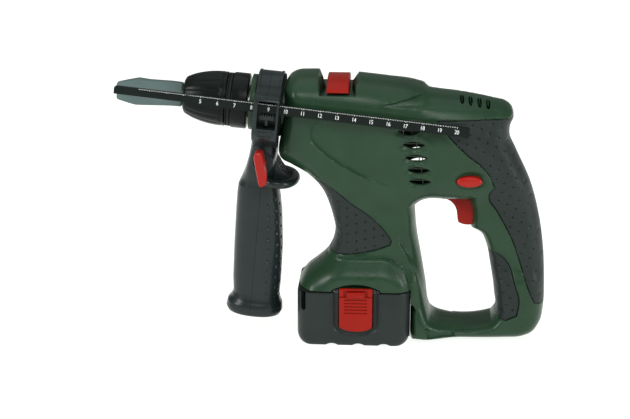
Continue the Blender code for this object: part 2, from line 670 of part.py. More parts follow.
# ---------------------------------------------------------------- trigger, buttons and electrics
trigger_side = (
    (54.0, 89.5), (56.6, 88.2), (59.4, 85.4), (61.0, 81.0), (61.7, 76.6), (62.5, 74.2), (78.5, 74.2),
    (78.5, 89.5),
)
add("trigger", plate([trigger_side], -TRIGGER_HALF, TRIGGER_HALF, "XZ"), RED, origin=(72, 0, 81))
turns, coil, wire = 4, 2.6, 0.45
SPRING = (79.0, 88.0)
spring = bpy.data.curves.new("trigger_spring", "CURVE")
spring.dimensions = "3D"
spring.bevel_depth = wire * MM
spring.bevel_resolution = 0
spring.use_fill_caps = True
line = spring.splines.new("POLY")
steps = turns * 10
line.points.add(steps)
for i, point in enumerate(line.points):
    angle = 2 * math.pi * turns * i / steps
    along = SPRING[0] + (SPRING[1] - SPRING[0]) * i / steps
    point.co = (along * MM, coil * math.cos(angle) * MM, (81 + coil * math.sin(angle)) * MM, 1)
spring.materials.append(STEEL)
bpy.context.scene.collection.objects.link(bpy.data.objects.new("trigger_spring", spring))
add("trigger_switch", block((88.8, -4.5, 74.5), (97.0, 4.5, 87.5), 0.4, 1), BLACK)
add("circuit_board", block((83.5, -10.0, 94.5), (85.0, 10.0, 122.0)), BOARD)
add("speaker", turned(((0, 138.0), (9.0, 138.0), (11.5, 141.5), (11.5, 143.2), (0, 143.2)), 20), BLACK)
bpy.data.objects["speaker"].location.x = 73 * MM

pin = plate([ellipse(BUTTON, BUTTON_HALF, 20)], -BUTTON_REACH, BUTTON_REACH, "XZ")
add("direction_button", pin, RED, origin=(BUTTON[0], 0, BUTTON[1]))
saddle = plate([SADDLE], *SWITCH, "YZ")
add("mode_switch", saddle, RED, origin=(-11, 0, 161))

# ---------------------------------------------------------------- battery
plan = rounded((BATTERY[0], -HOOD_HALF), (BATTERY[1], HOOD_HALF), 9, 5)
tub = plate([plan], BATTERY_TOP, 0, "XY", inset=2.6, sink=-2.8)
battery = add("battery_case", tub, BLACK)
H_ROOM = (
    (-32.8, -20), (-29.5, -23.6), (-16.5, -23.6), (-16.5, -18.8), (15.5, -18.8), (15.5, -23.6), (28.0, -23.6),
    (31.4, -20), (31.4, 20), (28.0, 23.6), (15.5, 23.6), (15.5, 18.8), (-16.5, 18.8), (-16.5, 23.6),
    (-29.5, 23.6), (-32.8, 20),
)
cut(battery, helper("cell_room", plate([H_ROOM], 2.0, 40)))
for word, side in (("left", -1), ("right", 1)):
    low, high = sorted((side * 20.6, side * 30))
    pocket = plate([rounded((-11.2, 9.2), (13.0, 45), 6)], low, high, "XZ")
    cut(battery, helper(f"latch_pocket_{word}", pocket))
    for index, x in enumerate((-17.0, -1.0, 16.0), 1):
        low, high = sorted((side * 14, side * 30))
        cut(battery, helper(f"foot_groove_{word}_{index}", block((x - 2.5, low, -1), (x + 2.5, high, 1))))
lid = add("battery_lid", plate([shrunk(plan, 0.4)], BATTERY_TOP + GAP, 34.1), BLACK)
join(lid, helper("terminal_tower", block((-12.5, -9.5, 33), (13.5, 9.5, 50), 1.5, 1)))
for word, side in (("left", -1), ("right", 1)):
    low, high = sorted((side * 20.6, side * 30))
    cut(lid, helper(f"lid_notch_{word}", block((-11.2, low, 30), (13.0, high, 40))))
    low, high = sorted((side * 5, side * 12))
    cut(lid, helper(f"terminal_slot_{word}", block((-4.0, low, 38), (5.0, high, 46.5))))
    low, high = sorted((side * 5.3, side * 6.8))
    add(f"battery_terminal_{word}", block((-3.6, low, 38.4), (4.6, high, 46.1)), BRASS)
    low, high = sorted((side * 10.2, side * 11.0))
    add(f"housing_contact_{word}", block((-3.0, low, 43.0), (4.0, high, 52.0)), BRASS)
index = 0
for z in (9.5, 24.1):
    for y in (-7.5, 7.5):
        index += 1
        profile = (
            (0, 0), (CELL_RADIUS, 0), (CELL_RADIUS, CELL_LENGTH - 1.2), (2.6, CELL_LENGTH - 1.2),
            (2.6, CELL_LENGTH), (0, CELL_LENGTH),
        )
        cell = turned(profile, 16)
        flip = 90 if index % 2 else -90
        bmesh.ops.translate(cell, verts=cell.verts, vec=(0, 0, -CELL_LENGTH / 2))
        bmesh.ops.rotate(cell, verts=cell.verts, matrix=Matrix.Rotation(math.radians(flip), 3, "Y"))
        made = add(f"battery_cell_{index}", cell, CELL)
        made.location = (-0.7 * MM, y * MM, z * MM)
LATCH_HINGE = 13.0
for word, side in (("left", -1), ("right", 1)):
    face = rounded((LATCH[0], 11.2), (LATCH[1], 37.8), 3.5)
    low, high = (26.9, 24.6) if side > 0 else (-26.9, -24.6)
    shape = plate([face], high, low, "XZ", inset=0.5, sink=0.5 if low > high else -0.5)
    add(f"battery_latch_{word}", shape, RED, origin=(0.85, side * 25.4, LATCH_HINGE))
    low, high = sorted((side * 21.0, side * 24.2))
    leaf = bmesh.new()
    verts = [
        (x, y, z)
        for x in (-4.0, 5.6)
        for y, z in ((side * 21.0, 14.0), (side * 21.6, 14.0), (side * 24.2, 27.0), (side * 23.6, 27.0))
    ]
    made = [leaf.verts.new(v) for v in verts]
    for face in ((0, 1, 2, 3), (7, 6, 5, 4), (0, 4, 5, 1), (1, 5, 6, 2), (2, 6, 7, 3), (3, 7, 4, 0)):
        leaf.faces.new([made[i] for i in face])
    add(f"latch_spring_{word}", leaf, STEEL)

# ---------------------------------------------------------------- side handle (in the drill's frame)
GRIP = (
    (17.0, 12.0, 53.2, 7.4), (30.0, 11.0, 53.6, 7.9), (40.0, 11.2, 54.0, 8.8), (46.0, 12.0, 54.2, 10.8),
    (53.0, 12.6, 54.2, 13.2), (66.0, 13.0, 53.2, 14.2), (88.0, 13.2, 52.1, 15.0), (111.0, 13.0, 51.2, 14.9),
    (121.6, 12.6, 50.7, 14.2), (125.0, 14.2, 51.2, 17.0), (130.2, 14.6, 51.3, 17.6), (133.4, 12.6, 51.1, 15.0),
)
WINDOW_BLOCK = (
    (-14.0, 12.0), (-12.6, 27.0), (-10.8, 32.6), (-8.8, 34.2), (11.0, 34.2), (15.5, 30.5), (24.0, 15.0),
    (24.0, 8.0), (0, 8.0),
)
knob_at = (32.3, 53.0)  # (down, forward) of the knob's axis


def handle_half(name, low, high):
    """The side handle between two planes across the drill axis."""
    made = add(name, loft(GRIP), BLACK, parent=DRILL)
    collar = tube(6, COLLAR_RADIUS, *COLLAR)
    join(made, helper(f"{name}_collar", collar, DRILL))
    window = plate([WINDOW_BLOCK], COLLAR[0] - 0.4, COLLAR[1] - 0.5)
    window = helper(f"{name}_window", window, DRILL)
    cut(window, helper(f"{name}_rule_slot", block((-8.6, 28.2, 40), (1.0, 31.8, 65)), DRILL))
    cut(window, helper(f"{name}_view", block((-9.0, 24.6, 46.2), (7.6, 40, 57.4)), DRILL))
    join(made, window)
    guard = loft(((43.6, 21.5, 48.2, 15.5), (45.0, 23.2, 47.4, 16.4), (47.0, 23.2, 47.4, 16.4)), 20, 2.2)
    join(made, helper(f"{name}_guard", guard, DRILL))
    boss = rod(6.2, 6, 17.6)
    bmesh.ops.rotate(boss, verts=boss.verts, matrix=Matrix.Rotation(math.radians(-90), 3, "X"))
    bmesh.ops.translate(boss, verts=boss.verts, vec=(knob_at[0], 0, knob_at[1]))
    join(made, helper(f"{name}_boss", boss, DRILL))
    cut(made, helper(f"{name}_bore", rod(NECK_RADIUS + GAP, 40, 70, 24), DRILL))
    cut(made, helper(f"{name}_hollow", loft([(d, n - 3, s, w - 3) for d, n, s, w in GRIP[4:10]], 12), DRILL))
    stud = rod(2.5, 2.0, 40, 14)
    bmesh.ops.rotate(stud, verts=stud.verts, matrix=Matrix.Rotation(math.radians(-90), 3, "X"))
    bmesh.ops.translate(stud, verts=stud.verts, vec=(knob_at[0], 0, knob_at[1]))
    cut(made, helper(f"{name}_stud_bore", stud, DRILL), solver=CHAIN)
    nut_room = block((knob_at[0] - 4, 1.6, knob_at[1] - 4), (knob_at[0] + 4, 6.4, knob_at[1] + 4))
    cut(made, helper(f"{name}_nut_room", nut_room, DRILL), solver=CHAIN)
    side = helper(f"{name}_side", block((-40, -40, low), (150, 50, high)), DRILL)
    boolean(made, side, "INTERSECT", CHAIN)
    return made


handle_half("handle_front", HANDLE_SEAM + SEAM, 90)
handle_half("handle_rear", 20, HANDLE_SEAM - SEAM)
nut = block((knob_at[0] - 3.6, 2.0, knob_at[1] - 3.6), (knob_at[0] + 3.6, 6.0, knob_at[1] + 3.6))
nut_made = add("clamp_nut", nut, STEEL, parent=DRILL)
nut_bore = rod(2.3, 0, 8, 14)
bmesh.ops.rotate(nut_bore, verts=nut_bore.verts, matrix=Matrix.Rotation(math.radians(-90), 3, "X"))
bmesh.ops.translate(nut_bore, verts=nut_bore.verts, vec=(knob_at[0], 0, knob_at[1]))
cut(nut_made, helper("nut_bore", nut_bore, DRILL))
knob = turned(((0, 2.4), (2.0, 2.4), (2.0, 18.0), (5.2, 18.0), (5.2, 22.5), (3.8, 25.5), (0, 25.5)), 20)
bmesh.ops.rotate(knob, verts=knob.verts, matrix=Matrix.Rotation(math.radians(-90), 3, "X"))
bmesh.ops.translate(knob, verts=knob.verts, vec=(knob_at[0], 0, knob_at[1]))
knob = add("wing_knob", knob, RED, origin=(knob_at[0], 0, knob_at[1]), parent=DRILL)
WING = (
    (-11.4, -1.2), (-10.8, 1.5), (0, 2.6), (10.8, 1.5), (11.4, -1.2), (10.0, -1.6), (0, -2.6), (-10.0, -1.6),
)
wing = plate([WING], 22.0, 33.8, "XZ", inset=0.7, sink=1.5)
bmesh.ops.rotate(wing, verts=wing.verts, matrix=Matrix.Rotation(math.radians(15.5), 3, "Y"))
join(knob, helper("knob_wing", wing, knob))

pawl = add("rule_pawl", block((-0.6, 27.0, 47.8), (1.9, 31.6, 55.8)), BLACK, parent=DRILL)
join(pawl, helper("pawl_stem", block((1.0, 28.2, 51.0), (6.0, 30.4, 52.6)), DRILL))

# ---------------------------------------------------------------- depth rule (in its own frame)
RULE_TIP, RULE_STEP, RULE_END = -141.8, -98.5, 66.4
RULE_HALF = 2.75
rule_side = (
    (RULE_TIP, -1.4), (RULE_STEP, -1.4), (RULE_STEP, -RULE_HALF), (RULE_END, -RULE_HALF),
    (RULE_END, RULE_HALF), (RULE_TIP + 1.0, RULE_HALF), (RULE_TIP, RULE_HALF - 1.0),
)
add("depth_rule", plate([rule_side], -1.0, 1.0, "XZ"), BLACK, parent=RULE)
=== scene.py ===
"""Looks of the toy power drill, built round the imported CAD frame.

Lengths are in millimetres until a mesh is made.
"""

import json
import math

import bmesh
import bpy
import numpy as np
from mathutils import Matrix, Vector
from mathutils.geometry import delaunay_2d_cdt


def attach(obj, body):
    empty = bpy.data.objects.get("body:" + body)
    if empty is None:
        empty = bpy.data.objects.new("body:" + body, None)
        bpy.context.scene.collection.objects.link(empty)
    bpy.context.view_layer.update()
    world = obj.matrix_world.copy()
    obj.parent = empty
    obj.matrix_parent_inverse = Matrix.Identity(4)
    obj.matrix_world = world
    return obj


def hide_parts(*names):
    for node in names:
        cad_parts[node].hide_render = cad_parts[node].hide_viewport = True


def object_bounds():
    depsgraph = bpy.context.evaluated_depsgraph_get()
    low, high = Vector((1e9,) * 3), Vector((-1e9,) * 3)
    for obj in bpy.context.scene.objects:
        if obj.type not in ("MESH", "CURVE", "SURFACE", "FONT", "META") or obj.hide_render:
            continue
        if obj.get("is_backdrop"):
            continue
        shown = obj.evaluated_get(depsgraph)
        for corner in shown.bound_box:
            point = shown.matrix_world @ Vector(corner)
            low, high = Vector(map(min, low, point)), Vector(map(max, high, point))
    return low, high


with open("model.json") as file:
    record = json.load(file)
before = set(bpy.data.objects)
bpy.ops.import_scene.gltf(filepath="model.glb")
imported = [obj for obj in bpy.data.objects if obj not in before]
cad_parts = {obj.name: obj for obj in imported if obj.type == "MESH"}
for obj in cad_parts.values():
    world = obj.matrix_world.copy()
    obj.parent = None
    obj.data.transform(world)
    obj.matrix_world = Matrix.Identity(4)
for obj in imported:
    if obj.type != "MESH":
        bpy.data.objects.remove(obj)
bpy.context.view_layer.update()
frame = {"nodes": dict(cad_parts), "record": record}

# ---------------------------------------------------------------- dimensions shared with the CAD source
SEAM = 0.15
RIM = 0.2
PAD = 1.5
WALL = 3.2
AXIS_TILT = 5.4
AXIS_HEIGHT = 140.5
RULE_TILT = 6.2
RULE_HEIGHT = 143.6
RULE_SIDE = 30.0
BODY_HALF = 24.5
REAR_HALF = 18.0
HANDLE_HALF = 14.5
COLUMN_HALF = 17.5
HOOD_HALF = 26.0
BODY = (
    (-44.2, 145.0, 9), (-42.6, 159.0, 10), (-40.4, 162.8, 11), (-36.2, 165.2, 13), (-28.8, 166.0, 15),
    (-14.0, 165.7, 17), (2.0, 164.5, 17), (18.0, 162.7, 17), (36.6, 159.9, 17), (40.4, 158.6, 16),
    (42.8, 156.4, 16), (47.0, 155.6, 16), (61.2, 154.0, 15), (81.7, 150.4, 13), (88.6, 148.7, 11),
    (92.2, 145.6, 10), (93.2, 141.0, 9),
    (91.4, 136.0, 9), (91.2, 129.6, 9), (95.4, 120.1, 10), (104.7, 100.3, 11), (111.0, 78.2, 11),
    (114.3, 58.0, 11), (115.7, 36.3, 11), (115.8, 23.2, 11), (113.9, 11.6, 10), (109.6, 5.2, 9),
    (102.6, 2.2, 8), (90.3, 1.4, 7), (60.0, 1.0, 6), (40.0, 1.0, 4), (34.1, 1.0, 3.4),
    (34.1, 22.0, 3.4), (20.0, 22.0, 6), (-20.0, 22.0, 8), (-35.1, 22.0, 9), (-34.9, 34.6, 10),
    (-30.5, 41.7, 12), (-24.6, 46.9, 15), (-18.2, 53.3, 14), (-14.2, 60.7, 11), (-12.7, 68.6, 11),
    (-14.2, 77.0, 11), (-17.2, 86.8, 11), (-21.1, 95.4, 11), (-28.9, 103.6, 15), (-39.7, 109.8, 20),
    (-45.6, 113.2, 20), (-46.6, 115.4, 12), (-45.7, 129.2, 9),
)
LOOP = (
    (35.5, 85.0, 8), (36.8, 69.9, 8), (39.9, 52.6, 8), (43.0, 35.2, 8), (45.1, 21.0, 7),
    (47.0, 15.6, 6), (50.4, 12.7, 5), (55.7, 11.6, 5), (78.0, 12.0, 5), (83.6, 13.4, 5),
    (86.1, 17.6, 6), (85.4, 29.1, 7), (82.4, 47.4, 7), (79.3, 61.0, 7), (75.8, 68.2, 7),
    (69.9, 71.7, 6), (69.3, 86.0, 5), (67.8, 89.6, 5), (54.0, 89.9, 6), (39.6, 88.4, 7),
)
REAR_GRIP = (
    (46.8, 141.8), (100.0, 142.2), (125.0, 100.0), (125.0, 22.0), (108.6, 27.5), (104.9, 35.9),
    (100.1, 49.9), (93.4, 68.2), (84.5, 84.4), (79.2, 93.4), (79.4, 96.4), (82.2, 100.5),
    (80.2, 105.5), (73.4, 114.6), (67.4, 119.4), (56.5, 130.2),
)
INNER_GRIP = (
    (74.0, 57.0), (81.4, 59.0), (87.5, 57.2), (92.4, 52.2), (96.5, 40.7), (100.0, 27.8),
    (98.8, 18.8), (92.0, 15.8), (84.6, 17.8), (76.0, 22.0),
)
FRONT_GRIP = (
    (-36.0, 106.5), (-22.3, 104.2), (-15.2, 100.6), (-2.0, 89.0), (10.1, 79.8), (19.8, 69.3),
    (22.0, 65.5), (21.1, 62.7), (15.1, 60.3), (3.1, 57.2), (-9.0, 56.0), (-24.0, 57.0),
    (-24.0, 80.0), (-36.0, 98.0),
)
VENTS = ((31.2, 135.2), (34.2, 127.2), (35.8, 119.4), (37.3, 111.9), (38.2, 104.9))
BUTTON = (67.3, 105.0)
BUTTON_HALF = (7.6, 3.3)
SCREWS = ((-37.0, 116.5), (56.0, 146.5), (52.0, 106.0), (2.0, 72.0), (99.0, 46.0))
KNOB = (32.3, 53.0)  # (down, forward) of the knob's axis in the drill's frame
HANDLE_SEAM = 52.8
TERMINAL_SPOTS = 4.9
BUTTON_GAP = 0.35
SEAM_GAP = 0.07
KNOB_TURN = 14.5

# Lines on the body's sides, as (x, z).
PANEL_EDGE = (
    (-12.0, 143.0), (-19.0, 142.0), (-25.8, 137.5), (-27.4, 133.2), (-26.4, 128.6), (-22.8, 124.4),
    (-16.7, 119.2), (-10.6, 115.1), (-3.5, 111.0), (3.7, 107.0), (14.9, 102.6), (28.0, 99.0),
)
LOBE_EDGE = (
    (8.0, 149.3), (18.8, 151.0), (24.3, 152.2), (29.3, 153.6), (34.3, 155.0), (38.3, 156.3),
    (41.0, 158.2), (41.8, 163.0),
)
HOOD_EDGE = (
    (-22.0, 57.6), (-16.0, 55.4), (-10.5, 54.3), (-1.7, 54.2), (8.5, 54.2), (18.5, 54.0), (24.7, 51.2),
    (29.9, 45.8), (32.2, 40.6), (33.6, 33.0),
)
COLUMN_EDGE = (
    (24.0, 72.0), (26.6, 63.0), (30.4, 56.2), (35.7, 45.9), (39.8, 33.8), (42.3, 23.8), (44.2, 15.5),
)


# ---------------------------------------------------------------- looks
PLASTIC_IOR = 1.46


def nodes_of(name):
    made = bpy.data.materials.new(name)
    made.use_nodes = True
    tree = made.node_tree
    shader = tree.nodes["Principled BSDF"]
    place = tree.nodes.new("ShaderNodeTexCoord")
    return made, tree, shader, place


def noise(tree, place, scale, detail=3.0, stretch=None):
    node = tree.nodes.new("ShaderNodeTexNoise")
    node.inputs["Scale"].default_value = scale
    node.inputs["Detail"].default_value = detail
    source = place.outputs["Object"]
    if stretch:
        mapping = tree.nodes.new("ShaderNodeMapping")
        mapping.inputs["Scale"].default_value = stretch
        tree.links.new(source, mapping.inputs["Vector"])
        source = mapping.outputs["Vector"]
    tree.links.new(source, node.inputs["Vector"])
    return node.outputs["Fac"]


def ranged(tree, value, low, high):
    node = tree.nodes.new("ShaderNodeMapRange")
    node.inputs["From Min"].default_value = 0.3
    node.inputs["From Max"].default_value = 0.7
    node.inputs["To Min"].default_value = low
    node.inputs["To Max"].default_value = high
    tree.links.new(value, node.inputs["Value"])
    return node.outputs["Result"]


def moulded(name, colour, rough, grain=0.10, grain_scale=2200.0, vary=0.12, metallic=0.0, stretch=None,
            shine=0.26):
    """Plastic, rubber or metal with a little colour drift, uneven gloss and a fine moulded grain."""
    made, tree, shader, place = nodes_of(name)
    broad = noise(tree, place, 55.0, 2.0)
    mix = tree.nodes.new("ShaderNodeMix")
    mix.data_type = "RGBA"
    mix.inputs["A"].default_value = (*[c * (1 - vary) for c in colour], 1)
    mix.inputs["B"].default_value = (*[min(1, c * (1 + vary)) for c in colour], 1)
    tree.links.new(ranged(tree, broad, 0.0, 1.0), mix.inputs["Factor"])
    tree.links.new(mix.outputs["Result"], shader.inputs["Base Color"])
    tree.links.new(ranged(tree, noise(tree, place, 240.0, 4.0, stretch), rough - 0.05, rough + 0.05),
                   shader.inputs["Roughness"])
    bump = tree.nodes.new("ShaderNodeBump")
    bump.inputs["Strength"].default_value = grain
    bump.inputs["Distance"].default_value = 0.0002
    tree.links.new(noise(tree, place, grain_scale, 2.0, stretch), bump.inputs["Height"])
    tree.links.new(bump.outputs["Normal"], shader.inputs["Normal"])
    shader.inputs["Metallic"].default_value = metallic
    shader.inputs["IOR"].default_value = PLASTIC_IOR
    if not metallic:
        shader.inputs["Specular IOR Level"].default_value = shine
    return made


LOOKS = {
    "green_plastic": moulded("green_moulding", (0.0145, 0.042, 0.0195), 0.32, 0.16, shine=0.30),
    "soft_grip": moulded("soft_overmould", (0.0145, 0.0215, 0.019), 0.46, 0.30, 1600.0, shine=0.24),
    "black_plastic": moulded("black_moulding", (0.0055, 0.008, 0.007), 0.28, 0.12, shine=0.13),
    "red_plastic": moulded("red_moulding", (0.27, 0.008, 0.0035), 0.34, 0.10, vary=0.06, shine=0.16),
    "grey_plastic": moulded("grey_moulding", (0.16, 0.21, 0.20), 0.42, 0.15),
    "white_nylon": moulded("white_nylon_moulding", (0.75, 0.74, 0.70), 0.5, 0.10, vary=0.04),
    "steel": moulded("drawn_steel", (0.55, 0.56, 0.57), 0.3, 0.10, 900.0, 0.06, 1.0, (1, 1, 12)),
    "brass": moulded("drawn_brass", (0.70, 0.52, 0.22), 0.34, 0.10, 900.0, 0.06, 1.0, (1, 1, 12)),
    "copper_winding": moulded("wound_copper", (0.60, 0.27, 0.13), 0.4, 0.8, 1500.0, 0.15, 1.0, (1, 18, 1)),
    "circuit_board": moulded("solder_mask", (0.04, 0.20, 0.08), 0.45, 0.2, 700.0, 0.2),
    "cell_wrap": moulded("cell_film", (0.06, 0.10, 0.22), 0.3, 0.05, 600.0, 0.1),
}
# Looks of single pieces, each with the slot that it stands for.
OWN_LOOKS = {
    "satin": ("black_plastic", moulded("satin_black_moulding", (0.019, 0.025, 0.025), 0.40, 0.22, 1900.0)),
    "handle": (
        "black_plastic", moulded("handle_overmould", (0.0115, 0.0185, 0.0185), 0.30, 0.20, 1600.0, shine=0.32)),
    "case": ("black_plastic", moulded("battery_moulding", (0.0135, 0.0195, 0.0180), 0.36, 0.34, 1500.0)),
    "scale": ("black_plastic", moulded("rule_moulding", (0.0065, 0.010, 0.009), 0.36, 0.08, shine=0.12)),
    "gloss": ("black_plastic", moulded("glossy_black_moulding", (0.008, 0.010, 0.010), 0.16, 0.02, shine=0.6)),
    "blade": ("grey_plastic", moulded("bit_moulding", (0.085, 0.125, 0.120), 0.34, 0.06, vary=0.08)),
    "bright": ("red_plastic", moulded("bright_red_moulding", (0.33, 0.009, 0.005), 0.33, 0.08, vary=0.05)),
    "ink": (None, moulded("white_ink", (0.80, 0.82, 0.80), 0.5, 0.0, vary=0.03)),
    # Matte near-black, worn by the ring of painted shadow in the gap at the nose and by the chuck's inner core.
    "dark": ("black_plastic", moulded("shadow_black", (0.006, 0.007, 0.007), 0.6, 0.10)),
}

# ---------------------------------------------------------------- frames
tilt = math.radians(AXIS_TILT)
FORWARD = np.array((-math.cos(tilt), 0, math.sin(tilt)))
DOWN = np.array((-math.sin(tilt), 0, -math.cos(tilt)))
LEFT = np.array((0, -1.0, 0))
droop = math.radians(RULE_TILT)
FRAMES = {
    "world": (np.eye(3), np.zeros(3)),
    # (down, left, forward) along the drill axis
    "drill": (np.array((DOWN, LEFT, FORWARD)), np.array((0, 0, AXIS_HEIGHT))),
    # (to the rear, right, up) along the rule
    "rule": (
        np.array(((math.cos(droop), 0, -math.sin(droop)), (0, 1.0, 0), (math.sin(droop), 0, math.cos(droop)))),
        np.array((0, -RULE_SIDE, RULE_HEIGHT)),
    ),
}


def placed(name, data):
    made = bpy.data.objects.new(name, data)
    bpy.context.scene.collection.objects.link(made)
    return made


def raw(name, shape, where="world"):
    """An object with no look yet, from (vertices, faces) in millimetres in one of the frames."""
    verts, faces = shape
    turn, origin = FRAMES[where]
    verts = (np.asarray(verts, float) @ turn + origin) * 0.001
    mesh = bpy.data.meshes.new(name)
    mesh.from_pydata(verts.tolist(), [], [list(map(int, f)) for f in faces])
    bm = bmesh.new()
    bm.from_mesh(mesh)
    bmesh.ops.recalc_face_normals(bm, faces=bm.faces)
    bm.to_mesh(mesh)
    bm.free()
    return placed(name, mesh)


def carve(target, tools, how="DIFFERENCE"):
    """Applies Booleans one after another and removes the tools."""
    for tool in tools:
        step = target.modifiers.new("step", "BOOLEAN")
        step.operation = how
        step.object = tool
        step.solver = "MANIFOLD"
    bpy.context.view_layer.update()
    held = target.evaluated_get(bpy.context.evaluated_depsgraph_get())
    baked = bpy.data.meshes.new_from_object(held)
    target.modifiers.clear()
    target.data = baked
    for tool in tools:
        bpy.data.objects.remove(tool, do_unlink=True)
    return target


def copied(obj):
    return placed(obj.name + "_copy", obj.data.copy())


def show(obj, look, body, replaces=(), sharp=32):
    """Gives a finished piece its look, shading and body."""
    slot, material = OWN_LOOKS.get(look) or (look, LOOKS[look])
    obj.data.materials.clear()
    obj.data.materials.append(material)
    obj.data.polygons.foreach_set("material_index", [0] * len(obj.data.polygons))
    obj.data.shade_smooth()
    obj.data.set_sharp_from_angle(angle=math.radians(sharp))
    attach(obj, body)
    if replaces:
        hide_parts(*replaces)
    return obj


# ---------------------------------------------------------------- outlines
def smooth(t):
    t = np.clip(t, 0, 1)
    return t * t * (3 - 2 * t)


def curve(points, step, closed=True, corner=38.0):
    """A smooth line through the points, kept sharp at corners; values after the first two are carried."""
    spots = [np.array(p, float) for p in points]
    count = len(spots)

    def turned_more(i):
        if not closed and i in (0, count - 1):
            return True
        a = (spots[i] - spots[i - 1])[:2]
        b = (spots[(i + 1) % count] - spots[i])[:2]
        cos = a @ b / (np.linalg.norm(a) * np.linalg.norm(b))
        return math.degrees(math.acos(max(-1, min(1, cos)))) > corner

    sharp = [turned_more(i) for i in range(count)]

    def tangent(i):
        a = spots[i] - spots[i - 1]
        b = spots[(i + 1) % count] - spots[i]
        la, lb = np.linalg.norm(a[:2]), np.linalg.norm(b[:2])
        return (a / la * lb + b / lb * la) / (la + lb)

    line = []
    for i in range(count if closed else count - 1):
        j = (i + 1) % count
        span = spots[j] - spots[i]
        length = np.linalg.norm(span[:2])
        m0 = span if sharp[i] else tangent(i) * length
        m1 = span if sharp[j] else tangent(j) * length
        parts = max(1, math.ceil(length / step))
        for k in range(parts):
            t = k / parts
            spot = (
                spots[i] * (2 * t**3 - 3 * t**2 + 1) + m0 * (t**3 - 2 * t**2 + t)
                + spots[j] * (3 * t**2 - 2 * t**3) + m1 * (t**3 - t**2)
            )
            spot[2:] = spots[i][2:] * (1 - t) + spots[j][2:] * t
            line.append(spot)
    if not closed:
        line.append(spots[-1])
    return [tuple(p) for p in line]


def area(loop):
    return sum(a[0] * b[1] - b[0] * a[1] for a, b in zip(loop, (*loop[1:], loop[0]))) / 2


def shrunk(loop, distance):
    turn = 1 if area(loop) > 0 else -1
    moved = []
    count = len(loop)
    for i, point in enumerate(loop):
        before, here, after = (Vector(loop[k % count][:2]) for k in (i - 1, i, i + 1))
        into = (here - before).normalized()
        out = (after - here).normalized()
        normal = Vector((-(into + out).y, (into + out).x)).normalized() * turn
        reach = max(0.5, normal.dot(Vector((-into.y, into.x)) * turn))
        spot = here + normal * (distance / reach)
        moved.append((spot.x, spot.y, *point[2:]))
    return moved


def arc(centre, radii, start, end, count):
    angles = [math.radians(start + (end - start) * i / (count - 1)) for i in range(count)]
    return [(centre[0] + radii[0] * math.cos(a), centre[1] + radii[1] * math.sin(a)) for a in angles]


def ellipse(centre, radii, count):
    return arc(centre, radii, 0, 360, count + 1)[:-1]


def rounded(low, high, radius, steps=7):
    corners = (
        (high[0] - radius, high[1] - radius, 0), (low[0] + radius, high[1] - radius, 90),
        (low[0] + radius, low[1] + radius, 180), (high[0] - radius, low[1] + radius, 270),
    )
    return [p for x, y, start in corners for p in arc((x, y), (radius, radius), start, start + 90, steps)]


def fillet(loop, radius, steps=4):
    """The loop with its corners rounded."""
    made = []
    count = len(loop)
    for i in range(count):
        a, p, b = (Vector(loop[k % count][:2]) for k in (i - 1, i, i + 1))
        first = p + (a - p) * min(0.45, radius / (a - p).length)
        last = p + (b - p) * min(0.45, radius / (b - p).length)
        for k in range(steps + 1):
            t = k / steps
            made.append(tuple(first * (1 - t) ** 2 + p * (2 * t * (1 - t)) + last * t * t))
    return made


def inside(spots, loop):
    start = np.array([p[:2] for p in loop])
    end = np.roll(start, -1, axis=0)
    x, z = spots[:, 0, None], spots[:, 1, None]
    spans = (start[:, 1] > z) != (end[:, 1] > z)
    rise = np.where(end[:, 1] == start[:, 1], 1, end[:, 1] - start[:, 1])
    return (spans & (x < start[:, 0] + (z - start[:, 1]) / rise * (end[:, 0] - start[:, 0]))).sum(1) % 2 == 1


def nearest_places(spots, start, end):
    """For each spot and each straight piece of a line, the share along it and the distance."""
    span = end - start
    along = np.clip(((spots[:, None] - start) * span).sum(2) / (span * span).sum(1), 0, 1)
    return along, np.linalg.norm(spots[:, None] - (start + along[..., None] * span), axis=2)


def distance_to(spots, line, closed=False):
    start = np.array([p[:2] for p in line])
    end = np.roll(start, -1, axis=0)
    if not closed:
        start, end = start[:-1], end[:-1]
    return nearest_places(spots, start, end)[1].min(1)


def edge_share(spots, loops):
    """How far each spot is from the nearest rim, as a share of the rim's radius there."""
    nearest = np.full(len(spots), np.inf)
    for loop in loops:
        start = np.array(loop)
        end = np.roll(start, -1, axis=0)
        along, distance = nearest_places(spots, start[:, :2], end[:, :2])
        radius = start[:, 2] + along * (end - start)[:, 2]
        nearest = np.minimum(nearest, (distance / radius).min(1))
    return nearest


def filled(loops, spots=()):
    points, edges = [], []
    for loop in loops:
        first = len(points)
        points += [Vector(p[:2]) for p in loop]
        edges += [(first + i, first + (i + 1) % len(loop)) for i in range(len(loop))]
    points += [Vector(p[:2]) for p in spots]
    faces = delaunay_2d_cdt(points, edges, [], 1, 1e-6)[2]
    flat = np.array([tuple(p) for p in points])
    middles = flat[np.array([tuple(f) for f in faces])].mean(1)
    keep = inside(middles, loops[0])
    for hole in loops[1:]:
        keep &= ~inside(middles, hole)
    return [face for face, kept in zip(faces, keep) if kept]


# ---------------------------------------------------------------- solids as (vertices, faces)
def joined(*shapes):
    verts, faces = [], []
    for v, f in shapes:
        first = len(verts)
        verts += [tuple(p) for p in v]
        faces += [[i + first for i in face] for face in f]
    return verts, faces


def strip(rows, closed=True, capped=True):
    """Rings of points joined one to the next."""
    verts = [p for row in rows for p in row]
    count = len(rows[0])
    faces = []
    last = count if closed else count - 1
    for k in range(len(rows) - 1):
        for i in range(last):
            j = (i + 1) % count
            faces.append((k * count + i, k * count + j, (k + 1) * count + j, (k + 1) * count + i))
    if capped:
        faces.append(list(range(count))[::-1])
        faces.append([(len(rows) - 1) * count + i for i in range(count)])
    return verts, faces


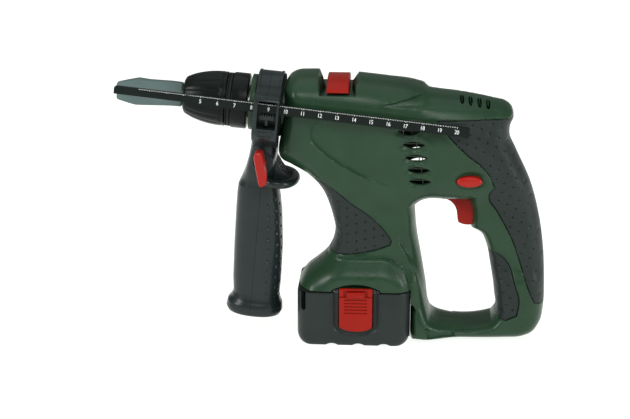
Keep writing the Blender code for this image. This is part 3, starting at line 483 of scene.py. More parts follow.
def turned(profile, segments=96, ribs=None):
    """A profile of (radius, height) turned about Z, open through the middle if it starts off the axis."""
    angles = [2 * math.pi * i / segments for i in range(segments)]
    rows = []
    for radius, height in profile:
        radius = max(radius, 0.01)
        radii = [radius - (ribs(a, height, radius) if ribs else 0) for a in angles]
        rows.append([(r * math.cos(a), r * math.sin(a), height) for r, a in zip(radii, angles)])
    ring = profile[0][0] > 0
    if ring:
        rows.append(rows[0])
    verts, faces = strip(rows, capped=not ring)
    if ring:
        count = len(rows[0])
        base = (len(rows) - 1) * count
        verts = verts[:base]
        faces = [[i - base if i >= base else i for i in face] for face in faces]
    return verts, faces


def slab(loop, low, high, bevel=0.0, plane="XY", steps=3):
    """An outline swept across its plane, with rounded rims."""
    order = {"XY": (0, 1, 2), "XZ": (0, 2, 1), "YZ": (2, 0, 1)}[plane]
    levels = [(low, 0.0), (high, 0.0)]
    if bevel:
        turns = [math.radians(90 * k / steps) for k in range(steps + 1)]
        levels = [(low + bevel * (1 - math.sin(a)), bevel * (1 - math.cos(a))) for a in turns[::-1]]
        levels += [(high - bevel * (1 - math.sin(a)), bevel * (1 - math.cos(a))) for a in turns]
    rows = []
    for height, inset in levels:
        ring = shrunk(loop, inset) if inset else loop
        rows.append([tuple((p[0], p[1], height)[i] for i in order) for p in ring])
    return strip(rows)


def box(low, high, bevel=0.0):
    low_xy = (min(low[0], high[0]), min(low[1], high[1]))
    high_xy = (max(low[0], high[0]), max(low[1], high[1]))
    loop = rounded(low_xy, high_xy, bevel, 4) if bevel else (
        low_xy, (high_xy[0], low_xy[1]), high_xy, (low_xy[0], high_xy[1]))
    return slab(list(loop), min(low[2], high[2]), max(low[2], high[2]), bevel)


def rod(radius, low, high, segments):
    return turned(((0, low), (radius, low), (radius, high), (0, high)), segments)


def on(side, near, far):
    """Two distances from the middle plane, as low and high Y on one side of it."""
    return sorted((side * near, side * far))


def superring(count, square=2.4):
    ring = []
    for i in range(count):
        angle = 2 * math.pi * i / count
        c, s = math.cos(angle), math.sin(angle)
        grow = (abs(c) ** square + abs(s) ** square) ** (-1 / square)
        ring.append((c * grow, s * grow, angle))
    return ring


def tilted(shape, axis, degrees, about=(0, 0, 0)):
    turn = np.array(Matrix.Rotation(math.radians(degrees), 3, axis))
    verts = (np.asarray(shape[0], float) - about) @ turn.T + about
    return verts, shape[1]


def shifted(shape, by):
    return np.asarray(shape[0], float) + by, shape[1]


# ---------------------------------------------------------------- body surface
OUTER = [curve(BODY, 2.4), curve(LOOP, 2.2)]
GRIPS = {"rear": curve(REAR_GRIP, 2.0), "inner": curve(INNER_GRIP, 1.6), "front": curve(FRONT_GRIP, 1.8)}
PANEL_LINE = curve(PANEL_EDGE, 1.6, closed=False)
LOBE_LINE = curve(LOBE_EDGE, 1.6, closed=False)
HOOD_LINE = curve(HOOD_EDGE, 1.6, closed=False)
COLUMN_LINE = curve(COLUMN_EDGE, 1.8, closed=False)
PANEL_AREA = [*PANEL_LINE, (60, 99), (60, 143)]
LOBE_AREA = [*LOBE_LINE, (42, 180), (-60, 180), (-60, 149)]
HOOD_AREA = [*HOOD_LINE, (33.6, 20), (-50, 20), (-50, 57.6)]
COLUMN_AREA = [*COLUMN_LINE, (44.2, 5), (60, 5), (60, 72)]


def almond(x, z, half, high, count=12):
    """A slot that comes to a point at both ends."""
    top = [(x - half + 2 * half * t, z + high * math.sin(math.pi * t) ** 0.8) for t in np.arange(count) / count]
    low = [(x + half - 2 * half * t, z - high * math.sin(math.pi * t) ** 0.8) for t in np.arange(count) / count]
    return [(float(a), float(b)) for a, b in top + low]


VENT_HOLES = [almond(x, z, 6.8, 2.25) for x, z in VENTS]
BUTTON_HOLE = ellipse(BUTTON, (BUTTON_HALF[0] + BUTTON_GAP, BUTTON_HALF[1] + BUTTON_GAP), 40)


def half_width(x, z):
    """Half the body's width away from its rounded edges, with the shapes pressed into its sides."""
    spots = np.stack((x, z), 1)
    column = COLUMN_HALF + (BODY_HALF - COLUMN_HALF) * smooth((z - 80) / 28)
    shoulder = BODY_HALF - (BODY_HALF - REAR_HALF) * smooth((x - 50) / 45)
    handle = HANDLE_HALF + (shoulder - HANDLE_HALF) * smooth((z - 84) / 20)
    plain = column + (handle - column) * smooth((x - 30) / 16)
    deep = distance_to(spots, HOOD_LINE) * inside(spots, HOOD_AREA)
    high = smooth((z - 38) / 12)
    rise = 1 - (1 - np.clip(deep / 13.0, 0, 1)) ** 1.55
    rise = rise * high + np.sqrt(1 - (1 - np.clip((deep + 0.4) / 9.0, 0, 1)) ** 2) * (1 - high)
    width = plain + (HOOD_HALF - 0.4 - plain) * rise
    return width + 5.5 * smooth((66 - x) / 24) * smooth((25 - z) / 14) * smooth((x - 32) / 14)


def hump(value, middle, width):
    return np.exp(-(((value - middle) / width) ** 2))


def relief(spots):
    """Small steps on the sides: panel, top lobe, rear band, hood lip, column edge and dished surrounds."""
    x, z = spots[:, 0], spots[:, 1]
    made = np.zeros(len(spots))
    deep = distance_to(spots, PANEL_LINE) * inside(spots, PANEL_AREA)
    made -= 1.5 * smooth(deep / 1.7) * (1 - smooth((x + 8) / 46))
    away = distance_to(spots, PANEL_LINE)
    made += 0.35 * hump(away, 0, 0.8) * (1 - smooth((x + 4) / 30)) * smooth((141 - z) / 6)
    near = distance_to(spots, LOBE_LINE)
    in_lobe = inside(spots, LOBE_AREA)
    bulge = 1.9 * smooth(near / 1.1) + 0.5 * hump(near, 1.1, 0.8)
    made += np.where(in_lobe, bulge, 0) * smooth((x - 6) / 24) * smooth((44.5 - x) / 2)
    rear = smooth((x - 14) / 22)
    made -= 1.5 * smooth((z - 149.6 + 0.045 * (x - 20)) / 1.1) * rear * ~in_lobe
    made -= 1.3 * smooth((142.9 - z) / 1.0) * smooth((x - 24) / 20) * smooth((z - 126) / 14)
    hood = distance_to(spots, HOOD_LINE)
    valley = 0.5 * hump(hood, 1.5, 0.7) * ~inside(spots, HOOD_AREA)
    made += 0.75 * hump(hood, 0.4, 0.6) - valley
    column = distance_to(spots, COLUMN_LINE)
    deep = column * inside(spots, COLUMN_AREA)
    fade = smooth((76 - z) / 16)
    made -= 2.0 * smooth(deep / 2.2) * fade
    made += 0.4 * hump(column, 0, 0.7) * fade
    for vx, vz in VENTS:
        left = np.hypot((x - vx + 4.6) / 6.2, (z - vz) / 4.2)
        made -= 1.5 * (1 - smooth(left))
        rim = np.hypot((x - vx) / 9.0, (z - vz) / 4.1)
        made += 0.4 * hump(rim, 1, 0.14)
    around = np.hypot((x - BUTTON[0]) / (BUTTON_HALF[0] + 4.2), (z - BUTTON[1]) / (BUTTON_HALF[1] + 3.4))
    made -= 1.3 * (1 - smooth((around - 0.6) / 0.4))
    for loop in GRIPS.values():
        made += 0.32 * hump(distance_to(spots, loop, True), 0.45, 0.45) * ~inside(spots, loop)
    return made


def grip_relief(spots):
    made = np.zeros(len(spots))
    for loop in GRIPS.values():
        within = inside(spots, loop)
        made -= 0.7 * (1 - smooth(distance_to(spots, loop, True) / 1.1)) * within
    x, z = spots[:, 0], spots[:, 1]
    made -= 1.0 * smooth((142.9 - z) / 1.4) * smooth((x - 24) / 20) * smooth((z - 128) / 12)
    away = np.full(len(spots), np.inf)
    for start in range(0, len(DENTS), 40):
        part = DENTS[start:start + 40]
        away = np.minimum(away, np.linalg.norm(spots[:, None] - part, axis=2).min(1))
    return made - 1.0 * (1 - smooth(away / 1.2))


def lattice(loop, pitch, lean, margin):
    """Staggered spots inside an outline, at least `margin` from its edge."""
    turn = np.array(Matrix.Rotation(math.radians(lean), 2))
    middle = np.mean([p[:2] for p in loop], axis=0)
    spots = []
    for i in range(-30, 31):
        for j in range(-30, 31):
            spots.append(middle + turn @ np.array(((i + 0.5 * (j % 2)) * pitch, j * pitch * 0.62)))
    spots = np.array(spots)
    keep = inside(spots, loop) & (distance_to(spots, loop, True) > margin)
    keep &= inside(spots, OUTER[0]) & ~inside(spots, OUTER[1]) & (edge_share(spots, OUTER) > 0.12)
    return spots[keep]


DENTS = np.concatenate([
    lattice(GRIPS["rear"], 7.4, 24.0, 2.2), lattice(GRIPS["inner"], 6.6, 12.0, 1.9),
    lattice(GRIPS["front"], 6.9, -38.0, 2.0),
])


RINGS = (0.03, 0.07, 0.13, 0.21, 0.31, 0.43, 0.57, 0.72, 0.88)  # shares of the rim's radius with a ring of points


def body_half(side, inset=0.0, step=1.9, rings=RINGS, holes=(), extra=None, shape=None, start=SEAM):
    """A closed solid under one side of the body's surface. side -1 is the drill's left."""
    if inset:
        loops = []
        for loop, distance in ((BODY, inset), (LOOP, -inset)):
            apart = [p for p, q in zip(loop, (*loop[1:], loop[0])) if math.dist(p[:2], q[:2]) > 0.9 * inset]
            loops.append([(x, z, max(r - inset, 0.5)) for x, z, r in curve(shrunk(apart, distance), 5.0)])
    else:
        loops = OUTER
    spots = []
    for loop, sign in zip(loops, (1, -1)):
        into = shrunk(loop, sign)
        for share in rings:
            ring = np.array([
                (x + (a - x) * r * share, z + (b - z) * r * share)
                for (x, z, r), (a, b, _) in zip(loop, into) if r > 3 or share in (0.13, 0.43, 0.88)
            ])
            spots.append(ring[np.abs(edge_share(ring, loops) - share) < 0.12 * share + 0.01])
    if extra is not None:
        good = inside(extra, loops[0]) & ~inside(extra, loops[1]) & (edge_share(extra, loops) > 0.02)
        spots.insert(0, extra[good])
    xs = np.arange(-48, 118, step)
    zs = np.arange(2, 168, step * 0.87)
    even = np.array([(x + (row % 2) * step / 2, z) for row, z in enumerate(zs) for x in xs])
    keep = inside(even, loops[0]) & ~inside(even, loops[1])
    even = even[keep]
    spots.append(even[edge_share(even, loops) > 0.9])
    spots = np.concatenate(spots)
    for hole in holes:
        spots = spots[~inside(spots, hole) & (distance_to(spots, hole, True) > 0.25)]
    cell = np.round(spots / (0.24 if not inset else 1.5)).astype(int)
    spots = spots[np.sort(np.unique(cell, axis=0, return_index=True)[1])]
    outlines = [*loops, *holes]
    flat = [p[:2] for loop in outlines for p in loop]
    everything = np.array([*flat, *spots.tolist()])
    share = np.clip(edge_share(everything, loops), 0, 1)
    share[: len(loops[0]) + len(loops[1])] = 0
    round_off = (1 - (1 - share) ** 2.2) ** (1 / 2.2)
    widths = half_width(everything[:, 0], everything[:, 1]) - inset
    if shape:
        widths = widths + shape(everything)
    depth = SEAM + RIM + (widths - SEAM - RIM) * round_off
    verts = [(x, side * start, z) for x, z in flat]
    verts += [(x, side * y, z) for (x, z), y in zip(everything, depth)]
    count = len(flat)
    faces = [list(face) for face in filled(outlines)]
    faces += [[i + count for i in face] for face in filled(outlines, spots)]
    first = 0
    for outline in outlines:
        for i in range(len(outline)):
            a, b = first + i, first + (i + 1) % len(outline)
            faces.append((a, b, b + count, a + count))
        first += len(outline)
    return verts, faces


FEATURES = []
for line in (PANEL_LINE, LOBE_LINE, HOOD_LINE, COLUMN_LINE):
    spots = np.array([p[:2] for p in line])
    way = np.gradient(spots, axis=0)
    normal = np.stack((-way[:, 1], way[:, 0]), 1) / np.linalg.norm(way, axis=1)[:, None]
    for offset in (0, -0.4, 0.4, -0.8, 0.8, -1.3, 1.3, -2.0, 2.0, -3.0, 3.0):
        FEATURES += (spots + normal * offset).tolist()
for loop in GRIPS.values():
    for offset in (-0.1, -0.45, -0.95, -1.6):
        FEATURES += [p[:2] for p in shrunk(loop, offset)]
for hole in [*VENT_HOLES, BUTTON_HOLE]:
    for offset in (-0.35, -1.0, -1.9):
        FEATURES += [p[:2] for p in shrunk(hole, offset)]
for x in np.arange(15, 93, 1.8):
    FEATURES += [(x, 149.6 - 0.045 * (x - 20) + rise) for rise in (-0.5, 0, 0.4, 0.75, 1.1, 1.8)]
    FEATURES += [(x, 142.9 - drop) for drop in (-0.5, 0, 0.35, 0.7, 1.0, 1.6)]
FEATURES = np.array([[float(v) for v in p] for p in FEATURES])

GRIP_SPOTS = []
for loop in GRIPS.values():
    for offset in (-0.3, 0.15, 0.5, 0.9, 1.4):
        GRIP_SPOTS += [p[:2] for p in shrunk(loop, offset)]
for dent in DENTS:
    GRIP_SPOTS.append(tuple(dent))
    for radius, count in ((0.45, 6), (1.05, 9)):
        GRIP_SPOTS += ellipse(dent, (radius, radius), count)
GRIP_SPOTS = np.array(GRIP_SPOTS)
FINE = 1.9

# ---------------------------------------------------------------- housing and grips
for side, word in ((-1, "left"), (1, "right")):
    shell = raw(
        f"shell_{word}", body_half(side, 0, FINE, holes=[*VENT_HOLES, BUTTON_HOLE], extra=FEATURES, shape=relief))
    coarse = {"step": 6.0, "rings": (0.12, 0.35, 0.7), "start": -4}
    bed = raw("bed", body_half(side, PAD + 0.3, **coarse))
    back = raw("back", body_half(side, PAD, **coarse))
    room = raw("room", body_half(side, WALL, **coarse))
    carve(room, [raw("switch_block", box((-28, -40, 148), (7, 40, 175))),
                 raw("hood_floor", box((-60, -40, 0), (37.4, 40, 38.4)))])
    skin = raw("skin", body_half(side, 0, FINE + 0.5, extra=GRIP_SPOTS, shape=grip_relief))
    low, high = on(side, -1.0, 32.0)
    recesses = []
    for grip, loop in GRIPS.items():
        recess = raw("recess", slab(shrunk(loop, -0.12), low, high, plane="XZ"))
        recesses.append(carve(recess, [copied(bed)]))
        pad = copied(skin)
        pad.name = f"soft_{grip}_grip_{word}"
        carve(pad, [raw("trim", slab(shrunk(loop, 0.05), low, high, plane="XZ"))], "INTERSECT")
        carve(pad, [copied(back)])
        show(pad, "soft_grip", "body", [f"{grip}_grip_{word}"], 40)
    for spare in (bed, back, skin):
        bpy.data.objects.remove(spare, do_unlink=True)
    cuts = [*recesses, room, raw("nose", rod(15.8, 30, 52, 96), "drill")]
    for turned_by in (-7.0, 0.0, 8.0):
        notch = slab([(-18.65, 155.6), (-3.3, 155.6), (-2.9, 160.2), (-0.6, 163.6), (3.2, 166.6), (9.0, 180),
                      (-29.0, 180), (-22.4, 166.6), (-20.4, 162.5)], -40, 40, plane="XZ")
        cuts.append(raw("notch", tilted(notch, "Z", turned_by, (-11.0, 0, 0))))
    cuts.append(raw("trigger_way", box((66, -6.9, 73.5), (79, 6.9, 90.2))))
    cuts.append(raw("terminal_way", box((-14.5, -11.5, 30), (15.5, 11.5, 52))))
    cuts.append(raw("bay", box((-60, -40, 10), (34.0, 40, 35.2))))
    port = curve((
        (-14.2, 28), (-14.2, 34.6), (-13.6, 36.2), (-11.6, 37.3), (13.4, 37.3), (15.4, 36.2), (16.0, 34.6),
        (16.0, 28),
    ), 1.0, corner=80)
    cuts.append(raw("port", slab(port, *on(side, 21.6, 40), plane="XZ")))
    for x, z in ((62.0, 151.9), (67.0, 151.1), (72.3, 150.3), (77.4, 149.5)):
        bean = turned([(2.0 * math.sin(math.radians(a)) ** 0.9, -5.4 * math.cos(math.radians(a)))
                       for a in np.arange(0.5, 180, 12)], 24)
        bean = (np.asarray(bean[0]) * (0.68, 1.9, 1.0), bean[1])
        bean = tilted(bean, "X", 72 * side)
        cuts.append(raw("bean", shifted(bean, (x, side * 10.0, z))))
    if side > 0:
        for x, z in SCREWS:
            deep = float(half_width(np.array([x]), np.array([z]))[0])
            sink = tilted(rod(3.1, 8.7, deep + 2, 40), "X", -90)
            cuts.append(raw("sink", shifted(sink, (x, 0, z))))
    carve(shell, cuts)
    bars = []
    for x, z in VENTS:
        near, far = on(side, 18.6, 21.4)
        bars.append(raw("bar", box((x - 8.0, near, z + 0.1), (x + 8.0, far, z + 0.7))))
        bars.append(raw("bar", box((x + 1.4, near, z - 3.0), (x + 2.0, far, z + 3.0))))
    carve(shell, bars, "UNION")
    shell.name = f"shell_{word}"
    show(shell, "green_plastic", "body", [f"housing_{word}"], 34)

# ---------------------------------------------------------------- nose
neck = turned((
    (9.2, 35.0), (16.2, 35.0), (16.2, 38.2), (15.4, 38.2), (15.4, 60.8), (16.3, 60.8), (16.7, 61.1),
    (16.8, 61.6), (16.8, 63.4), (16.6, 64.0), (16.2, 64.2), (9.2, 64.2),
), 128)
show(raw("nose_neck", neck, "drill"), "green_plastic", "body", ["front_neck"])
# A thin dark ring between the body's nose and the side handle's collar, not a real part: painted shadow of the
# gap there.
gap_shadow_ring = turned((
    (15.45, 44.45), (18.6, 44.45), (18.9, 44.7), (18.9, 45.0), (18.6, 45.25), (15.45, 45.25),
), 96)
show(raw("nose_gap_shadow_ring", gap_shadow_ring, "drill"), "dark", "body")


# ---------------------------------------------------------------- chuck and bit
def flutes(angle, height, radius):
    """Long ribs on the sleeve that fade out towards its rear groove."""
    if radius < 10.5:
        return 0.0
    fade = float(smooth((height - 80.5) / 4)) * float(smooth((103.4 - height) / 3))
    return 0.34 * (0.5 + 0.5 * math.cos(18 * angle)) ** 3 * fade


sleeve = [(10.3, 78.5), (15.7, 78.5), (16.3, 78.9), (16.45, 79.6), (16.2, 80.1), (16.2, 80.6), (16.4, 80.9)]
sleeve += curve((
    (16.35, 83.0), (16.05, 87.0), (15.45, 91.0), (14.5, 95.0), (13.2, 99.0), (11.9, 101.9),
), 0.8, closed=False)
sleeve += [(11.2, 103.2), (10.6, 103.8), (10.3, 104.0)]
show(raw("chuck_nose_sleeve", turned(sleeve, 240, flutes), "drill"), "black_plastic", "spindle",
     ["chuck_sleeve"], 50)

band = (
    (10.3, 65.6), (16.0, 65.6), (16.6, 66.0), (16.7, 66.6), (16.7, 74.4), (16.5, 75.0), (16.0, 75.2),
    (10.3, 75.2),
)
show(raw("chuck_rear_ring", turned(band, 144), "drill"), "black_plastic", "spindle", ["chuck_ring"], 40)
core = (
    (4.3, 65.8), (10.0, 65.8), (10.0, 75.5), (15.9, 75.5), (16.1, 75.7), (16.1, 77.0), (15.5, 77.2),
    (15.5, 77.5), (16.1, 77.7), (16.1, 78.1), (15.8, 78.2), (10.0, 78.2), (10.0, 103.6), (9.4, 104.4),
    (8.4, 104.7), (4.3, 104.7),
)
show(raw("chuck_inner_core", turned(core, 96), "drill"), "dark", "spindle", ["chuck_core"])

blade = fillet((
    (-6.9, 105.4), (-7.1, 112.0), (-6.6, 126.0), (-7.0, 132.6), (-3.2, 145.6), (7.0, 145.2), (9.2, 133.4),
    (8.6, 126.0), (7.4, 112.0), (7.3, 105.4),
), 1.2)
bit = raw("bit_blade", slab(blade, -3.2, 3.2, 1.0, "XZ", 4), "drill")
for sign in (1, -1):
    wedge = slab([(3.6 * sign, 130.5), (0.9 * sign, 148), (7 * sign, 148), (7 * sign, 130.5)], -14, 14, 0, "YZ")
    carve(bit, [raw("wedge", wedge, "drill")])
shank = turned(((0, 88.8), (3.2, 88.8), (3.9, 89.6), (3.9, 107.5), (0, 107.5)), 48)
carve(bit, [raw("shank", shank, "drill")], "UNION")
show(bit, "blade", "bit", ["blade_bit"], 30)

# ---------------------------------------------------------------- trigger and buttons
finger = curve((
    (51.0, 90.6), (52.2, 89.6), (55.4, 88.6), (58.4, 86.4), (60.4, 83.2), (61.2, 79.6), (61.6, 76.2),
    (62.2, 74.4), (63.2, 73.9), (78.4, 73.9), (78.4, 89.6), (60.0, 90.6),
), 1.0, corner=50)
show(raw("trigger_lever", slab(finger, -6.4, 6.4, 1.3, "XZ", 4)), "red_plastic", "trigger", ["trigger"], 40)

dome = ((22.0, 1.0), (23.1, 1.0), (23.7, 0.92), (24.1, 0.8), (24.35, 0.62), (24.5, 0.4), (24.55, 0.12))
rows = []
for y, grow in [*((-y, grow) for y, grow in dome[::-1]), *dome]:
    rows.append([(x, y, z) for x, z in ellipse(BUTTON, (BUTTON_HALF[0] * grow, BUTTON_HALF[1] * grow), 56)])
show(raw("direction_pin", strip(rows)), "bright", "direction_button", ["direction_button"], 50)

saddle = fillet((
    (-19.6, 156.5), (-21.0, 157.1), (-20.8, 158.0), (-18.8, 159.6), (-14.4, 161.8), (-8.6, 163.4), (-3.0, 164.0),
    (3.0, 164.0), (8.6, 163.4), (14.4, 161.8), (18.8, 159.6), (20.8, 158.0), (21.0, 157.1), (19.6, 156.5),
), 2.2)
show(raw("mode_slider", slab(saddle, -17.5, -4.5, 0.5, "YZ")), "red_plastic", "mode_switch",
     ["mode_switch"], 40)

# ---------------------------------------------------------------- battery
CORNER_SLOT = 55  # degrees round the front corners from straight ahead
plan = rounded((-35.0, -26.0), (33.6, 26.0), 9, 12)
rows = []
for z, inset in ((0.0, 5.2), (0.25, 4.0), (0.9, 2.7), (1.9, 1.6), (3.3, 0.75), (5.0, 0.2), (6.8, 0.0),
                 (33.5, 0.0), (34.0, 0.12), (34.2, 0.4)):
    wider = (26 - 0.4 * inset) / (26 - inset)
    rows.append([(x, y * wider, z) for x, y in (shrunk(plan, inset) if inset else plan)])
case = raw("battery_tub", strip(rows))
cuts = [raw("cells", slab(rounded((-32.6, -18.6), (31.2, 18.6), 4), 2.0, 50))]
for side in (-1, 1):
    bottom = arc((0.9, 13.4), (10.8, 4.2), 180, 360, 20)
    cuts.append(raw("pocket", slab([(-9.9, 50), *bottom, (11.7, 50)], *on(side, 20.4, 40), plane="XZ")))
    rows = []
    for y, grow in ((24.6, -1.3), (24.75, -0.5), (25.2, 0.0), (26.6, 1.5)):
        bottom = arc((0.9, 13.6), (13.1 + grow, 6.3 + grow), 180, 360, 28)
        rows.append([(x, side * y, z) for x, z in [(-12.2 - grow, 50), *bottom, (14.0 + grow, 50)]])
    cuts.append(raw("dish", strip(rows)))
    for x in (-13.6, 2.6, 18.2):
        groove = tilted(rod(5.4, 8, 40, 64), "X", -90 * side)
        cuts.append(raw("scallop", shifted(groove, (x, 0, -3.7))))
    turn = math.radians(CORNER_SLOT)
    slot = [*arc((0, 24.4), (1.8, 1.9), 180, 360, 12), (1.8, 50), (-1.8, 50)]
    slot = tilted(slab(slot, *on(side, -6.5, 3.0), plane="XZ"), "Z", (90 - CORNER_SLOT) * side)
    cuts.append(raw("slot", shifted(slot, (-26 - 9 * math.cos(turn), side * (17 + 9 * math.sin(turn)), 0))))
carve(case, cuts)
ribs = [raw("guide", box((33.0, -13, 2.5), (33.93, 13, 33.5)))]
for side in (-1, 1):
    for x in (-13.7, 15.5):
        rib = rounded((x - 0.5, 14.5), (x + 0.5, 32.0), 0.45, 4)
        ribs.append(raw("rib", slab(rib, *on(side, 25.0, 26.3), 0.45, "XZ")))
carve(case, ribs, "UNION")
show(case, "case", "battery", ["battery_case"], 34)

lid = raw("battery_cover", slab(shrunk(plan, 1.3), 34.25, 34.9))
carve(lid, [raw("tower", slab(rounded((-12.5, -9.5), (13.5, 9.5), 1.5), 33.0, 50.0, 0.8))], "UNION")
cuts = []
for side in (-1, 1):
    cuts.append(raw("terminal", box((-4.0, side * TERMINAL_SPOTS, 38), (5.0, side * 12, 46.5))))
    cuts.append(raw("lid_notch", box((-9.9, side * 20.4, 30), (11.7, side * 40, 40))))
carve(lid, cuts)
show(lid, "black_plastic", "battery", ["battery_lid"])

for side, word in ((-1, "left"), (1, "right")):
    arch = curve((
        (-13.6, 34.4), (-13.4, 35.0), (-12.6, 36.2), (-10.4, 37.3), (12.2, 37.3), (14.4, 36.2), (15.2, 35.0),
        (15.4, 34.4),
    ), 0.8, corner=80)
    ears = raw(f"latch_ears_{word}", slab(arch, *on(side, 22.0, 26.3), 0.9, "XZ", 4))
    way = slab([(-9.75, 20), (11.55, 20), (11.55, 50), (-9.75, 50)], -40, 40, plane="XZ")
    carve(ears, [raw("way", way)])
    show(ears, "gloss", "battery")
    bottom = arc((0.85, 13.6), (10.05, 3.7), 180, 360, 24)
    face = [*bottom, (10.9, 36.8), (10.4, 37.4), (-8.7, 37.4), (-9.2, 36.8)]
    latch = raw(f"release_latch_{word}", slab(face, *on(side, 24.5, 26.75), 0.45, "XZ"))
    cuts = []
    for z in (22.0, 24.1, 26.2, 28.3, 30.4):
        groove = rounded((-6.1, z - 0.42), (7.8, z + 0.42), 0.3, 4)
        cuts.append(raw("groove", slab(groove, *on(side, 26.15, 28), plane="XZ")))
    cuts.append(raw("line", box((-12, side * 26.0, 32.0), (14, side * 28, 32.6))))
    cuts.append(raw("step", box((-6.6, side * 25.7, 32.6), (8.4, side * 28, 36.6))))
    carve(latch, cuts)
    hook = rounded((-4.6, 31.9), (6.4, 35.6), 0.7, 4)
    carve(latch, [raw("hook", slab(hook, *on(side, 25.2, 28.2), 0.9, "XZ"))], "UNION")
    show(latch, "red_plastic", f"latch_{word}", [f"battery_latch_{word}"], 34)

# ---------------------------------------------------------------- side handle
GRIP = (
    (17.0, 16.4, 53.4, 7.5), (26.0, 16.6, 53.6, 7.8), (32.0, 16.4, 53.9, 8.3), (38.0, 15.4, 54.4, 8.9),
    (43.0, 13.8, 54.8, 9.9), (47.0, 12.6, 54.8, 11.3), (51.0, 12.7, 55.0, 12.5), (56.0, 12.9, 54.6, 13.2),
    (66.0, 13.0, 53.6, 14.1), (88.0, 13.2, 52.1, 15.0), (111.0, 13.0, 51.2, 14.9), (120.0, 12.6, 50.8, 14.3),
    (123.6, 13.2, 50.9, 15.4), (126.2, 14.3, 51.2, 17.0), (130.0, 14.6, 51.3, 17.5), (132.4, 13.6, 51.2, 16.3),
    (133.4, 11.8, 51.1, 14.0),
)  # (down, half across, middle, half along)
DENT_PITCH = 3.55
DENT_TURN = 41.0
levels = curve(GRIP, 0.55, closed=False, corner=170)
AROUND = 208
ring = superring(AROUND)
square_ring = superring(AROUND, 4.2)
rows = []
for down, across, middle, along in levels:
    row = []
    blend = float(smooth((down - 36) / 12))
    for (c, s, angle), (flat_c, flat_s, _) in zip(ring, square_ring):
        c, s = flat_c + (c - flat_c) * blend, flat_s + (s - flat_s) * blend
        depth = 0.0
        if 55.0 < down < 121.0 and -160 < math.degrees(angle) - 360 < -20:
            k = int(round((down - 57.0) / DENT_PITCH))
            off = (math.degrees(angle) - 270) / DENT_TURN - 0.5 * (k % 2)
            step_round = (off - round(off)) * DENT_TURN
            away = math.hypot(down - 57.0 - DENT_PITCH * k, math.radians(step_round) * along)
            depth = 0.9 * float(1 - smooth(away / 1.4))
        row.append((down, (across - depth) * c, middle + (along - depth) * s))
    rows.append(row)
grip_shape = strip(rows)

collar = turned((
    (15.75, 45.4), (19.8, 45.4), (20.3, 45.8), (20.35, 46.4), (20.3, 46.9), (19.95, 47.2), (19.9, 47.6),
    (19.9, 58.2), (19.95, 58.6), (20.3, 58.9), (20.35, 59.4), (20.3, 60.0), (19.8, 60.4), (15.75, 60.4),
), 144)
frame_side = fillet(((-14.2, 12.0), (-13.0, 26.0), (-11.6, 32.2), (-9.4, 34.2), (10.8, 34.2), (15.5, 30.4),
                     (22.6, 17.0), (24.0, 12.0), (24.0, 8.0), (0, 8.0)), 1.4)
window = raw("window", slab(frame_side, 45.0, 59.9, 0.7), "drill")
rows = []
for down, across, middle, along in (
    (42.4, 17.4, 44.6, 10.6), (42.5, 18.6, 44.3, 11.8), (43.0, 19.6, 44.0, 12.6), (43.9, 20.2, 43.8, 13.1),
    (45.1, 20.3, 43.7, 13.2), (46.3, 19.9, 43.8, 12.8), (47.2, 18.9, 44.0, 11.9), (47.8, 17.0, 44.4, 10.2),
):
    rows.append([(down, across * c, middle + along * s) for c, s, _ in superring(96, 2.15)])
guard = raw("guard", strip(rows), "drill")
dish = turned([(math.sin(math.radians(a)), -math.cos(math.radians(a))) for a in np.arange(0.5, 180.4, 9)], 72)
dish = (np.asarray(dish[0])[:, [2, 0, 1]] * (3.0, 17.0, 10.4) + (41.7, 0, 43.8), dish[1])
carve(guard, [raw("dish", dish, "drill")])
edge = curve((
    (31.0, 47.0), (34.6, 44.4), (38.2, 41.8), (41.2, 38.6), (43.0, 35.4), (44.0, 33.0),
), 1.0, closed=False)
fins = []
for n in (-7.6, -3.8, 0.0, 3.8, 7.6):
    fin = slab([*edge, (46.0, 33.2), (46.5, 50.0), (31.0, 50.0)], n - 0.7, n + 0.7, 0.3, "XZ")
    fins.append(raw("fin", fin, "drill"))
to_knob = (KNOB[0], 0, KNOB[1])
boss = turned(((0, 6), (6.6, 6), (6.5, 17.0), (6.3, 17.4), (6.0, 17.6), (0, 17.6)), 72)
rim = turned(((5.15, 16.9), (5.65, 16.9), (5.65, 20), (5.15, 20)), 72)
tab = slab(rounded((8.9, 47.6), (12.6, 56.8), 0.5, 4), 33.0, 35.0, 0.35, "XZ")
tab_dish = slab(rounded((9.7, 48.4), (11.8, 56.0), 0.3, 4), 34.3, 36, plane="XZ")

carve(window, [raw("tab", tab, "drill")], "UNION")
carve(window, [
    raw("tab_dish", tab_dish, "drill"),
    raw("rule_way", box((-8.6, 28.2, 40), (1.0, 31.8, 65)), "drill"),
    raw("view", slab(rounded((-9.0, 46.2), (7.6, 57.4), 0.7, 4), 24.6, 40, plane="XZ"), "drill"),
])
handle = raw("side_handle", grip_shape, "drill")
carve(handle, [
    raw("collar", collar, "drill"), window, guard, *fins,
    raw("boss", shifted(tilted(boss, "X", -90), to_knob), "drill"),
], "UNION")
carve(handle, [
    raw("bore", rod(15.75, 40, 70, 144), "drill"),
    raw("rim", shifted(tilted(rim, "X", -90), to_knob), "drill"),
    raw("stud_way", slab(ellipse(KNOB, (2.5, 2.5), 32), 2.0, 40, plane="XZ"), "drill"),
    raw("nut_way", box((KNOB[0] - 4, 1.6, KNOB[1] - 4), (KNOB[0] + 4, 6.4, KNOB[1] + 4)), "drill"),
])
rear = copied(handle)
carve(handle, [raw("front_side", box((-60, -60, HANDLE_SEAM + SEAM_GAP), (160, 60, 120)), "drill")], "INTERSECT")
carve(rear, [raw("rear_side", box((-60, -60, 0), (160, 60, HANDLE_SEAM - SEAM_GAP)), "drill")], "INTERSECT")
handle.name, rear.name = "side_handle_front", "side_handle_rear"
show(handle, "handle", "side_handle", ["handle_front"], 36)
show(rear, "handle", "side_handle", ["handle_rear"], 36)

